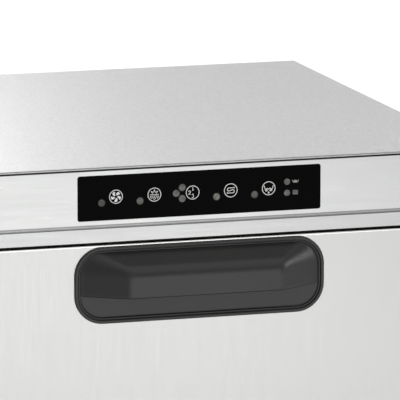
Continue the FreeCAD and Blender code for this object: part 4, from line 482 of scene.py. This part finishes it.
def loft(rings, closed=True, caps=False):
    """Points and faces of a skin over rings of equally many points, with its two ends shut if asked."""
    count = len(rings[0])
    points = [point for ring in rings for point in ring]
    faces = []
    for row in range(len(rings) - 1):
        for step in range(count if closed else count - 1):
            after = (step + 1) % count
            here, above = row * count, (row + 1) * count
            faces.append((here + step, here + after, above + after, above + step))
    if caps:
        faces += [tuple(reversed(range(count))), tuple(range(len(points) - count, len(points)))]
    return points, faces


# %% [markdown]
# ## The cup handle
# The handle is one black moulding, 269 mm wide: a raised bead round a shallow tub, and in it a hood
# like a flattened bowl, open below for the fingers. Every section is the same rounded outline, moved
# inwards and raised, so both parts are lofted from rings of that outline. Depth is measured out from
# the door's face.
#
# The bead's rings follow its half-round section, dip into a shallow groove, rise over a fine ridge and
# end on the tub's floor. The hood's rings rise at two slopes, steep from above and shallow from the
# ends, and turn into the flat front over an arc of 15 mm, which gives the soft shoulder. Their corners
# grow tighter on the way out, so the light from the right runs along them as one streak.

# %% Outline of the handle
low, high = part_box("door_handle")
handle_half = (high.x - low.x) / 2 / MM
handle_low, handle_top = low.z / MM, high.z / MM
door_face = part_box("door_outer_skin")[0].y / MM
handle_corner = 30.0


def polar(radius, degrees, middle=(0.0, 0.0)):
    """The point at a distance and an angle from a middle."""
    turn = math.radians(degrees)
    return middle[0] + radius * math.cos(turn), middle[1] + radius * math.sin(turn)


def circle(middle, radius, start=0, end=360, steps=40):
    """Points on a circle or on part of one, in degrees."""
    whole = end - start == 360
    angles = [start + (end - start) * step / steps for step in range(steps if whole else steps + 1)]
    return [polar(radius, angle, middle) for angle in angles]


def stretch(a, b, count):
    """Points between a and b, without the two ends."""
    across, up = b[0] - a[0], b[1] - a[1]
    return [(a[0] + across * step / count, a[1] + up * step / count) for step in range(1, count)]


def handle_ring(inset, out):
    """The handle's closed outline, moved inwards and raised from the door's face, in metres."""
    half, bottom, top = handle_half - inset, handle_low + inset, handle_top - inset
    radius = max(handle_corner - inset, 2.0)
    side, low_turn, high_turn = half - radius, bottom + radius, top - radius
    turns = [circle((x, z), radius, start, start + 90, 12) for x, z, start in (
        (side, low_turn, -90), (side, high_turn, 0), (-side, high_turn, 90), (-side, low_turn, 180))]
    flat = []
    for index, turn in enumerate(turns):
        following = turns[(index + 1) % 4]
        flat += turn + stretch(turn[-1], following[0], 6 if index % 2 == 0 else 40)
    return [(x * MM, (door_face - out) * MM, z * MM) for x, z in flat]


print("handle in mm:", round(2 * handle_half, 1), "by", round(handle_top - handle_low, 1))

# %% Rim and tub of the handle
# each pair: how far in from the outline, how far out from the door's face
section = [(2.2, -6.5), (2.2, 0.0), (0.7, 0.05), (0.6, 0.45), (0.0, 0.7), (0.0, 1.4), (0.3, 2.0),
           (0.8, 2.35), (1.3, 2.45), (2.2, 2.47), (3.1, 2.43), (3.45, 2.2), (3.62, 1.6), (3.75, 0.9),
           (3.95, 0.6), (4.2, 0.6), (4.4, 0.85), (4.6, 1.12), (5.1, 1.2), (5.55, 1.12), (5.8, 0.7),
           (6.0, 0.1), (6.4, -0.35), (7.0, -0.5), (9.0, -0.5)]
points, faces = loft([handle_ring(inset, out) for inset, out in section], caps=True)
rim = piece("handle_rim_and_tub", points, faces, black_nylon, "door", fold=40)
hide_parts("door_handle")

# %% Hood of the handle
HOOD_OUT, HOOD_WALL = 27.0, 3.0
hood_low = handle_top - 50.1
slopes = {"end": (45.0, 15.0), "top": (16.0, 15.0)}   # run from root to front edge, radius of the shoulder


def hood_inset(way, out):
    """How far the hood's skin has come in from its root when it stands out by that much."""
    run, radius = slopes[way]
    angle = math.atan2(HOOD_OUT, run)
    arc_height = radius * (1 - math.cos(angle))
    if out <= HOOD_OUT - arc_height:
        return run * out / HOOD_OUT
    turn = math.acos(min(1.0, 1 - (HOOD_OUT - out) / radius))
    return run + radius * math.tan(angle / 2) - radius * math.sin(turn)


def hood_ring(inset_end, inset_top, radius, out):
    """One open ring of the hood, up the right end, over the top and down the left, in metres."""
    half, top = handle_half - inset_end, handle_top - inset_top
    turns = [circle((x, top - radius), radius, start, start + 90, 14)
             for x, start in ((half - radius, 0), (radius - half, 90))]
    flat = [(half, hood_low)] + stretch((half, hood_low), turns[0][0], 8) + turns[0]
    flat += stretch(turns[0][-1], turns[1][0], 44) + turns[1] + stretch(turns[1][-1], (-half, hood_low), 8)
    flat += [(-half, hood_low)]
    return [(x * MM, (door_face - out) * MM, z * MM) for x, z in flat]


HOOD_STEPS = (0.9, 3.0, 6.0, 9.0, 12.0, 14.0, 16.0, 18.0, 20.0, 21.5, 22.8, 23.8, 24.6, 25.3, 25.9, 26.35,
              26.65, 26.85, 26.96, 27.0)
root = 5.6                  # hood's root to the handle's outline
corner = handle_corner - root
rings = [hood_ring(root + end, root + top, corner - tighter, out) for end, top, tighter, out in (
    (0.0, 0.0, 0.0, -3.0), (0.0, 0.0, 0.0, -0.6), (0.2, 0.15, 0.2, 0.1), (0.7, 0.35, 0.5, 0.5))]
for out in HOOD_STEPS:
    rings.append(hood_ring(root + 1.4 + hood_inset("end", out), root + 0.4 + hood_inset("top", out),
                           corner - 0.6 - 17.0 * out / HOOD_OUT, out))
last_end = root + 1.4 + hood_inset("end", HOOD_OUT)
last_top = root + 0.4 + hood_inset("top", HOOD_OUT)
for part in (0.1, 0.22, 0.36, 0.5, 0.64, 0.78, 0.9):
    end = last_end + (handle_half - last_end) * part
    top = last_top + (handle_top - hood_low - last_top) * part
    rings.append(hood_ring(end, top, 6.0 * (1 - part), HOOD_OUT))
points, faces = loft(rings, closed=False)
count = len(rings[0])
faces.append(tuple(range(len(points) - count, len(points))))
hood = piece("handle_hood", points, faces, black_nylon, "door", fold=50, modifiers=[
    ("SOLIDIFY", {"thickness": HOOD_WALL * MM, "offset": -1.0, "use_even_offset": True}),
    ("BEVEL", {"width": 1.4 * MM, "segments": 3, "limit_method": "ANGLE", "angle_limit": math.radians(60)})])
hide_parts("door_handle")

# %% [markdown]
# ## The door's painted highlight
# The door's top fold shows as a fine white line of light. The solid's own rounded edge mirrors the dark
# gap above it, and a solid isn't reshaped, so the line gets a piece: a narrow strip, an eighth of a
# millimetre proud, lofted from right to left so that its faces look outward, and its steel is painted
# far brighter than the door as a painted highlight.

# %% Painted highlight on the door's hem
skin_low, skin_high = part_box("door_outer_skin")
face, top = skin_low.y / MM, skin_high.z / MM
end_gap = 0.5 * MM
hem_section = [(face + 0.6, top - 2.0), (face - 0.05, top - 1.9), (face - 0.12, top - 1.5),
               (face - 0.12, top - 0.5), (face + 0.05, top - 0.1), (face + 0.6, top)]
rows = [[(x, y * MM, z * MM) for y, z in hem_section]
        for x in (skin_high.x - end_gap, 0.0, skin_low.x + end_gap)]
points, faces = loft(rows, caps=True)
piece("door_hem_painted_highlight", points, faces, hem_painted_highlight_steel, "door", fold=60)

# %% [markdown]
# ## Painted shadow under the hood
# Under the hood's lower edge, where the fingers pull, lies a dark line of shade, and a thin strip of
# black rubber stands there as a painted shadow. It is a band along the ends and the front, lofted from
# the top down to face outward.

# %% Painted shadow strip under the hood
SHADOW_STRIP_TALL = 0.8
edge = [(handle_half - root - 1.4 - hood_inset("end", out), out)
        for out in (0.9, 6.0, 12.0, 18.0, 22.8, 25.3, 26.65, 27.0)]
outer = [(x - 0.35, out - 0.3) for x, out in edge]
inner = [(x - 1.6, out - 2.3) for x, out in reversed(edge[1:])]
rows = []
for height in (hood_low + 0.2, hood_low - SHADOW_STRIP_TALL):
    loop = outer + [(-x, out) for x, out in reversed(outer)] + [(-x, out) for x, out in reversed(inner)] + inner
    rows.append([(x * MM, (door_face - out) * MM, height * MM) for x, out in loop])
points, faces = loft(rows, caps=True)
# painted shadow: black rubber where there is only the shade under the hood's edge
shadow_strip = piece("handle_painted_shadow_strip", points, faces, seal_rubber, "door", fold=40)
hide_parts("door_handle")

# %% [markdown]
# ## Rings on the keys
# Each key carries a printed ring and a sign. A picture file is out of place here and a procedural mask
# blurs at this size, so the ink is drawn with strokes, discs and patches in millimetres from the key's
# middle. It rides on its key, five hundredths of a millimetre proud.

# %% Drawing with ink
INK = 0.05


def islands(name):
    """The low and high corners of each separate body in one solid, in the order of the low corners."""
    copy = bmesh.new()
    copy.from_mesh(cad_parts[name].data)
    bmesh.ops.remove_doubles(copy, verts=copy.verts, dist=1e-6)
    waiting, found = set(copy.verts), []
    while waiting:
        island, edge = [], [waiting.pop()]
        while edge:
            vertex = edge.pop()
            island.append(vertex.co.copy())
            reached = {link.other_vert(vertex) for link in vertex.link_edges} & waiting
            waiting -= reached
            edge.extend(reached)
        corners = np.array(island)
        found.append((Vector(corners.min(0)), Vector(corners.max(0))))
    copy.free()
    return sorted(found, key=lambda box: tuple(box[0]))


def stroke(points, width, closed=False):
    """Quads along a line of points, each side moved out by half the width."""
    line = [Vector(point) for point in points]
    count = len(line)
    sides = []
    for index, point in enumerate(line):
        before = line[(index - 1) % count] if closed or index else point
        after = line[(index + 1) % count] if closed or index < count - 1 else point
        across = (after - before).normalized().orthogonal() * width / 2
        sides.append((point + across, point - across))
    pairs = range(count if closed else count - 1)
    return [[sides[i][0], sides[(i + 1) % count][0], sides[(i + 1) % count][1], sides[i][1]] for i in pairs]


def printed(name, loops, middle, finish, body, over="control_overlay"):
    """Ink on the controls: flat loops given a thickness, just proud of the face."""
    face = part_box(over)[0].y
    shape = bmesh.new()
    for loop in loops:
        shape.faces.new([shape.verts.new((middle[0] * MM + u * MM, face - INK * MM, middle[1] * MM + v * MM))
                         for u, v in loop])
    bmesh.ops.remove_doubles(shape, verts=shape.verts, dist=1e-7)
    grown = bmesh.ops.extrude_face_region(shape, geom=shape.faces[:])["geom"]
    back = [vertex for vertex in grown if isinstance(vertex, bmesh.types.BMVert)]
    bmesh.ops.translate(shape, verts=back, vec=(0, INK * MM * 0.9, 0))
    bmesh.ops.recalc_face_normals(shape, faces=shape.faces)
    # the order that these operators leave changes from run to run, so the mesh is listed by place
    corners = sorted(shape.verts, key=lambda vertex: tuple(vertex.co))
    points, index = [tuple(vertex.co) for vertex in corners], {v: number for number, v in enumerate(corners)}
    faces = []
    for flat in shape.faces:
        loop = [index[vertex] for vertex in flat.verts]
        start = loop.index(min(loop))
        faces.append(loop[start:] + loop[:start])
    shape.free()
    piece(name, points, sorted(faces), finish, body)


RING, RING_LINE = 6.9, 0.78    # radius and width of the printed ring
key_middles = []
for number in range(1, 6):
    low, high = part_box(f"key_cap_{number}")
    key_middles.append(((low.x + high.x) / 2 / MM, (low.z + high.z) / 2 / MM))
    printed(f"key_ring_{number}", stroke(circle((0, 0), RING, steps=64), RING_LINE, closed=True),
            key_middles[-1], ring_ink, f"key_{number}")

# %% [markdown]
# ## Masks round the lamps
# The film over the lamps is printed black up to a round hole, a little smaller than the window behind
# it. So a ring of black ink lies on the rim of each window. The nine windows are one solid, and the
# helper above finds the separate ones.

# %% Masks round the lamps
OVERLAP = 0.14                 # ring past the window's edge
masks = []
for low, high in islands("indicator_lenses"):
    middle, radius = (low + high) / 2 / MM, (high.x - low.x) / 2 / MM
    clear, outside = 3.6 if radius > 4.0 else 3.3, radius + OVERLAP   # what is seen of a large, a small lamp
    masks += stroke(circle((middle.x, middle.z), (clear + outside) / 2, steps=48), outside - clear, closed=True)
printed("lamp_masks", masks, (0, 0), black_ink, "cabinet", over="indicator_lenses")

# %% [markdown]
# ## Signs
# A sign says what its key does: drying, washing, the three programmes, the hose that drains, the basin
# that fills. Beside the small lamps there are a tank and a heater. Symmetric signs are mirrored halves.

# %% Signs on the keys


def on_both_sides(points, width):
    """A stroke and its mirror image."""
    return stroke(points, width) + stroke([(-u, v) for u, v in points], width)


blade = [(1.4, 54), (1.8, 90), (3.5, 82), (4.8, 72), (5.4, 64), (5.5, 51), (5.4, 37), (5.2, 28), (4.1, 34),
         (2.9, 39), (1.9, 42)]
fan = [[polar(radius, angle + 72 * turn) for radius, angle in blade] for turn in range(5)]

sun_middle = Vector((0, 0.9))
sun = stroke(circle(sun_middle, 2.2, 0, 180, 16), 0.62)
for angle in (35, 90, 145):
    ray = Vector(polar(1.0, angle))
    side = ray.orthogonal()
    sun.append([sun_middle + ray * 3.0 + side, sun_middle + ray * 4.7, sun_middle + ray * 3.0 - side])
basin = stroke([(-4.6, 0.1), (4.6, 0.1)], 0.6) + on_both_sides([(-4.4, -1.4), (-3.3, -4.3)], 0.7)
basin += stroke([(-4.4, -1.4), (4.4, -1.4)], 0.45)
spray = on_both_sides([(0, -2.1), (-1.5, -4.6)], 0.6) + [circle((0, -5.3), 0.55, steps=12)]
spray += on_both_sides([(-2.4, -2.1), (-1.9, -3.2)], 0.6)


def digit(which, u, v, tall):
    """One digit as strokes, with its middle at u, v."""
    s = tall / 2
    lines = {
        "1": [[(-0.35, 0.55), (0.1, 1.0), (0.1, -1.0)], [(-0.4, -1.0), (0.6, -1.0)]],
        "2": [circle((0, 0.42), 0.55, 170, -50, 10) + [(-0.6, -0.95), (0.65, -0.95)]],
        "3": [circle((-0.05, 0.47), 0.5, 150, -80, 9) + circle((-0.05, -0.45), 0.55, 80, -150, 9)],
    }[which]
    return [quad for line in lines for quad in stroke([(u + a * s, v + b * s) for a, b in line], 0.72)]


numbers = digit("1", 0.1, 3.9, 3.2) + digit("2", -3.4, 0.0, 3.8) + digit("3", 0.1, -3.5, 3.5)

bend = [(3.4, 2.7), (-2.0, 2.65)] + circle((-2.0, 1.0), 1.65, 90, 270, 10)[1:-1] + [(-2.0, -0.65), (2.2, 0.75)]
bend += circle((2.2, -0.95), 1.7, 90, -90, 10)[1:-1] + [(2.2, -2.65), (-3.3, -2.7)]
hose = stroke(bend, 0.72) + [circle((3.6, 2.7), 0.8, steps=16), circle((-3.5, -2.7), 0.8, steps=16)]

cup = on_both_sides([(-5.0, 2.9), (-4.3, 0.6), (-3.2, -2.6), (-1.5, -2.9)], 0.8)
cup += stroke([(-4.2, -0.1), (-2.9, -0.9), (-1.5, 0.1), (0, -0.9), (1.5, 0.1), (2.9, -0.9), (4.2, -0.1)], 0.9)
cup += on_both_sides([(-3.3, -1.6), (-0.9, -1.9)], 0.9) + [circle((0, -4.7), 0.95, steps=16)]
cup += [[(-0.6, -4.2), (0.6, -4.2), (0.0, -2.7)]]

signs = [fan, sun + basin + spray, numbers, hose, cup]
for number, loops in enumerate(signs, 1):
    shade = white_ink if number == 1 else ring_ink
    printed(f"key_sign_{number}", loops, key_middles[number - 1], shade, f"key_{number}")

# %% Signs beside the small lamps
SIGNS_X, TANK_Z, HEATER_Z = 103.45, 795.0, 783.2
tank = stroke([(-3.6, 1.5), (-3.2, 0.3), (-2.2, -1.5), (2.2, -1.5), (3.2, 0.3), (3.6, 1.5)], 0.5)
tank += [[(-2.6, 0.2), (-1.2, 0.9), (0.0, 1.2), (1.2, 0.9), (2.6, 0.2), (1.9, -1.2), (-1.9, -1.2)]]
printed("tank_sign", tank, (SIGNS_X, TANK_Z), grey_ink, "cabinet")
heater = stroke([(-2.6, 1.9), (2.6, 1.9), (2.6, -1.9), (-2.6, -1.9)], 0.55, closed=True)
heater += stroke([(-1.9, -0.5), (-1.2, 0.8), (-0.5, -0.5), (0.2, 0.8), (0.9, -0.5), (1.6, 0.8), (2.0, -0.1)],
                 0.75)
heater += stroke([(-2.1, -1.2), (2.1, -1.2)], 0.6)
printed("heater_sign", heater, (SIGNS_X, HEATER_Z), grey_ink, "cabinet")

# %% [markdown]
# ## Growing a piece with Geometry Nodes
# Screws, seals and baskets are the same shape again and again, or one section along a path. Geometry
# Nodes suit them, because the tree says the rule once and its named inputs hold the sizes. It is put
# on a host object and its inputs are set by their identifiers. It ends in real geometry with its
# material, because an export keeps no instances, and the result is kept as a plain mesh.

# %% Geometry Nodes helpers


def grower(name, inputs):
    """An empty geometry tree with a geometry input and named numbers or materials."""
    tree = bpy.data.node_groups.new(name, "GeometryNodeTree")
    tree.interface.new_socket("Geometry", in_out="INPUT", socket_type="NodeSocketGeometry")
    tree.interface.new_socket("Geometry", in_out="OUTPUT", socket_type="NodeSocketGeometry")
    for label, kind in inputs.items():
        tree.interface.new_socket(label, in_out="INPUT", socket_type="NodeSocket" + kind)
    return tree, put(tree, "NodeGroupInput")


def finish_tree(tree, source, geometry):
    """End a tree: real geometry, its material, the output."""
    real = put(tree, "GeometryNodeRealizeInstances", {"Geometry": geometry})
    painted = put(tree, "GeometryNodeSetMaterial",
                  {"Geometry": real, "Material": source.outputs["Material"]})
    put(tree, "NodeGroupOutput", {"Geometry": painted})


def grown(name, tree, mesh, values, body, slot, fold=35):
    """Run a tree on a host mesh and keep what it makes."""
    host = stand(name + "_host", mesh)
    step = host.modifiers.new(name, "NODES")
    step.node_group = tree
    for item in tree.interface.items_tree:
        if item.item_type == "SOCKET" and item.in_out == "INPUT" and item.name in values:
            step[item.identifier] = values[item.name]
    made = bpy.data.meshes.new_from_object(host.evaluated_get(bpy.context.evaluated_depsgraph_get()))
    bpy.data.objects.remove(host)
    return place_mesh(name, made, body, fold=fold)


# %% [markdown]
# ## Casing screws
# Ten domed screws hold the lower panel and the rear panel, each with a cross recess at whatever angle
# the driver left it. Their places and directions are read from the frame's own screws and stored on
# bare points, and one head, cut from a sphere, is placed on each.

# %% Read the places of the screws
heads = []
for low, high in islands("casing_screws"):
    front = low.y < 0
    seat, way = (high.y, -1) if front else (low.y, 1)
    heads.append(((low.x + high.x) / 2, seat, (low.z + high.z) / 2, way, high.y - low.y))
print("screws:", len(heads), "diameter", round((high.x - low.x) / MM, 2), "mm")

# %% Screw tree
tree, source = grower("screw_heads", {"Diameter": "Float", "Recess width": "Float", "Seed": "Int",
                                      "Material": "Material"})
half = put(tree, "ShaderNodeMath", {0: source.outputs["Diameter"], 1: 0.5}, operation="MULTIPLY")
ball = put(tree, "GeometryNodeMeshUVSphere", {"Segments": 28, "Rings": 14, "Radius": half})
under = put(tree, "ShaderNodeCombineXYZ", {0: 0.02, 1: 0.02, 2: 0.02})
block = put(tree, "GeometryNodeMeshCube", {"Size": under})
sunk = put(tree, "GeometryNodeTransform", {"Geometry": block, "Translation": (0, 0, -0.01)})
length = put(tree, "ShaderNodeMath", {0: source.outputs["Diameter"], 1: 0.62}, operation="MULTIPLY")
slots = []
recess = source.outputs["Recess width"]
for along, across in ((length, recess), (recess, length)):
    size = put(tree, "ShaderNodeCombineXYZ", {0: along, 1: across, 2: 0.002})
    bar = put(tree, "GeometryNodeMeshCube", {"Size": size})
    slots.append(put(tree, "GeometryNodeTransform", {"Geometry": bar, "Translation": (0, 0, 0.0034)}))
head = put(tree, "GeometryNodeMeshBoolean", {0: ball}, operation="DIFFERENCE", solver="EXACT")
for tool in (sunk, *slots):
    fill(tree, head, {1: tool})
facing = put(tree, "GeometryNodeInputNamedAttribute", {"Name": "facing"}, data_type="FLOAT_VECTOR")
proud = put(tree, "GeometryNodeInputNamedAttribute", {"Name": "proud"}, data_type="FLOAT_VECTOR")
turned = put(tree, "FunctionNodeRandomValue", {2: 0.0, 3: 1.5, "Seed": source.outputs["Seed"]},
             data_type="FLOAT")
spin = put(tree, "ShaderNodeCombineXYZ", {2: turned.outputs[1]})
upright = put(tree, "FunctionNodeAlignRotationToVector", {"Vector": facing}, axis="Z")
aimed = put(tree, "FunctionNodeRotateRotation", {0: upright, 1: spin}, rotation_space="LOCAL")
placed = put(tree, "GeometryNodeInstanceOnPoints", {"Points": source.outputs["Geometry"], "Instance": head,
                                                    "Rotation": aimed, "Scale": proud})
finish_tree(tree, source, placed)

# %% Screws
DIAMETER = 7.0 * MM
host = bpy.data.meshes.new("screw_places")
host.from_pydata([head[:3] for head in heads], [], [])
for label, vectors in (("facing", [(0.0, head[3], 0.0) for head in heads]),
                       ("proud", [(1.0, 1.0, head[4] / (DIAMETER / 2)) for head in heads])):
    stored = host.attributes.new(label, "FLOAT_VECTOR", "POINT").data
    stored.foreach_set("vector", [value for vector in vectors for value in vector])
screw_heads = grown("casing_screw_heads", tree, host, {
    "Diameter": DIAMETER, "Recess width": 1.1 * MM, "Seed": 4, "Material": zinc_plate},
    "cabinet", "screw_steel")
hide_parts("casing_screws")

# %% [markdown]
# ## Door gasket
# The gasket is an extruded rubber section pushed on round the mouth: a root in the chamber's flange and
# a bulb that the door squeezes. The section is the host: a closed line of points. The tree makes the
# path, a rectangle with filleted corners, and draws the section along it.

# %% Gasket tree
tree, source = grower("seal_round_mouth", {"Width": "Float", "Height": "Float", "Corner": "Float",
                                           "Place": "Vector", "Material": "Material"})
mouth = put(tree, "GeometryNodeCurvePrimitiveQuadrilateral",
            {"Width": source.outputs["Width"], "Height": source.outputs["Height"]})
soft = put(tree, "GeometryNodeFilletCurve",
           {"Curve": mouth, "Count": 10, "Radius": source.outputs["Corner"]}, mode="POLY")
level = put(tree, "GeometryNodeSetCurveNormal", {"Curve": soft}, mode="Z_UP")
section = put(tree, "GeometryNodeMeshToCurve", {"Mesh": source.outputs["Geometry"]})
swept = put(tree, "GeometryNodeCurveToMesh", {"Curve": level, "Profile Curve": section})
upright = put(tree, "GeometryNodeTransform", {"Geometry": swept, "Translation": source.outputs["Place"],
                                              "Rotation": (math.pi / 2, 0.0, 0.0)})
finish_tree(tree, source, upright)

# %% Gasket
low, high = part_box("chamber_gasket")
half = 5.6
top = (high.y - low.y) / MM / 2 - 0.2
bulb = [(3.9 * u, 0.3 + (top - 0.3) * v) for u, v in circle((0, 0), 1.0, 15, 165, 10)]
foot = [(3.4, -top), (half, -1.9), (half, -0.9), (4.4, -0.5)]
outline = foot + bulb + [(-u, v) for u, v in reversed(foot)]
host = bpy.data.meshes.new("gasket_section")
edges = [(index, (index + 1) % len(outline)) for index in range(len(outline))]
host.from_pydata([(u * MM, v * MM, 0.0) for u, v in outline], edges, [])
inset = (half + 0.2) * MM
seal = grown("door_seal", tree, host, {
    "Width": high.x - low.x - 2 * inset, "Height": high.z - low.z - 2 * inset, "Corner": 22.0 * MM,
    "Place": tuple((low + high) / 2), "Material": seal_rubber}, "cabinet", "seal_rubber")
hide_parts("chamber_gasket")

# %% [markdown]
# ## Basket
# The basket is moulded polypropylene, 500 mm square, the size that gives such machines their name. Its
# floor and sides are lattices of thin ribs, its rim is a thick band and pegs stand on the floor to
# lean plates on. All of it is a rib or a peg repeated at a pitch, so one tree makes it from rows of
# points, with a bar or a tapered peg on each.

# %% Basket tree
tree, source = grower("rack", {"Width": "Float", "Height": "Float", "Count": "Int", "Pitch": "Float",
                               "Rib": "Float", "Place": "Vector", "Material": "Material"})
width, tall, count, pitch, rib = [source.outputs[label]
                                  for label in ("Width", "Height", "Count", "Pitch", "Rib")]
gaps = put(tree, "ShaderNodeMath", {0: count, 1: 1.0}, operation="SUBTRACT")
reach = put(tree, "ShaderNodeMath", {0: gaps, 1: pitch}, operation="MULTIPLY")
first = put(tree, "ShaderNodeMath", {0: reach, 1: -0.5}, operation="MULTIPLY")
inner = put(tree, "ShaderNodeMath", {0: rib, 1: -2.0, 2: width}, operation="MULTIPLY_ADD")
middles = put(tree, "ShaderNodeMath", {0: width, 1: rib}, operation="SUBTRACT")
plus, minus, floor_up, half_up = (
    put(tree, "ShaderNodeMath", {0: whole, 1: share}, operation="MULTIPLY")
    for whole, share in ((middles, 0.5), (middles, -0.5), (rib, 0.5), (tall, 0.5)))

# %% Rows of ribs
# each row: the size of one rib, the place of the first one, the step to the next
along_x, along_y = (pitch, 0.0, 0.0), (0.0, pitch, 0.0)
rows = [((inner, rib, rib), (0.0, first, floor_up), along_y),
        ((rib, inner, rib), (first, 0.0, floor_up), along_x)]
for side in (plus, minus):
    rows += [((rib, rib, tall), (first, side, half_up), along_x),
             ((rib, rib, tall), (side, first, half_up), along_y)]
parts = []
for size, start, step in rows:
    vectors = [put(tree, "ShaderNodeCombineXYZ", dict(enumerate(values))) for values in (size, start, step)]
    bar = put(tree, "GeometryNodeMeshCube", {"Size": vectors[0]})
    line = put(tree, "GeometryNodeMeshLine",
               {"Count": count, "Start Location": vectors[1], "Offset": vectors[2]}, mode="OFFSET")
    parts.append(put(tree, "GeometryNodeInstanceOnPoints", {"Points": line, "Instance": bar}))

# %% Bands and pegs
square = put(tree, "GeometryNodeCurvePrimitiveQuadrilateral", {"Width": middles, "Height": middles})
ring = put(tree, "GeometryNodeFilletCurve", {"Curve": square, "Count": 8, "Radius": 12 * MM}, mode="POLY")
for share, thick in ((0.0, 10 * MM), (0.30, 6 * MM), (0.62, 6 * MM), (1.0, 14 * MM)):
    profile = put(tree, "GeometryNodeCurvePrimitiveQuadrilateral", {"Width": rib, "Height": thick})
    eased = put(tree, "GeometryNodeFilletCurve", {"Curve": profile, "Count": 3, "Radius": 1 * MM}, mode="POLY")
    band = put(tree, "GeometryNodeCurveToMesh", {"Curve": ring, "Profile Curve": eased})
    room = put(tree, "ShaderNodeMath", {0: tall, 1: thick}, operation="SUBTRACT")
    up = put(tree, "ShaderNodeMath", {0: room, 1: share, 2: thick / 2}, operation="MULTIPLY_ADD")
    lift = put(tree, "ShaderNodeCombineXYZ", {2: up})
    parts.append(put(tree, "GeometryNodeTransform", {"Geometry": band, "Translation": lift}))
peg = put(tree, "GeometryNodeMeshCone", {"Vertices": 10, "Side Segments": 2, "Radius Top": 1.6 * MM,
                                         "Radius Bottom": 3 * MM, "Depth": 58 * MM})
across = put(tree, "ShaderNodeMath", {0: reach, 1: 0.84}, operation="MULTIPLY")
field = put(tree, "GeometryNodeMeshGrid",
            {"Size X": across, "Size Y": across, "Vertices X": 9, "Vertices Y": 8})
parts.append(put(tree, "GeometryNodeInstanceOnPoints", {"Points": field, "Instance": peg}))
joined = put(tree, "GeometryNodeJoinGeometry")
for part in reversed(parts):
    fill(tree, joined, {0: part})
stood = put(tree, "GeometryNodeTransform", {"Geometry": joined, "Translation": source.outputs["Place"]})
finish_tree(tree, source, stood)

# %% Basket
low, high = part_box("dish_basket")
rack = grown("basket_lattice", tree, bpy.data.meshes.new("rack_host"), {
    "Width": high.x - low.x, "Height": high.z - low.z, "Count": 21, "Pitch": 24.4 * MM, "Rib": 4.0 * MM,
    "Place": ((low.x + high.x) / 2, (low.y + high.y) / 2, low.z), "Material": basket_plastic},
    "basket", "basket_blue")
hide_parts("dish_basket")

# %% [markdown]
# ## Close the lesson
# How much the box of all that is shown grew over the box of the bare solids is printed.

# %% Finish
shown_box = [list(corner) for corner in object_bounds()]
growth = [[round((a - b) / MM, 2) for a, b in zip(*ends)] for ends in zip(shown_box, cad_box)]
print("grown by mm:", growth)
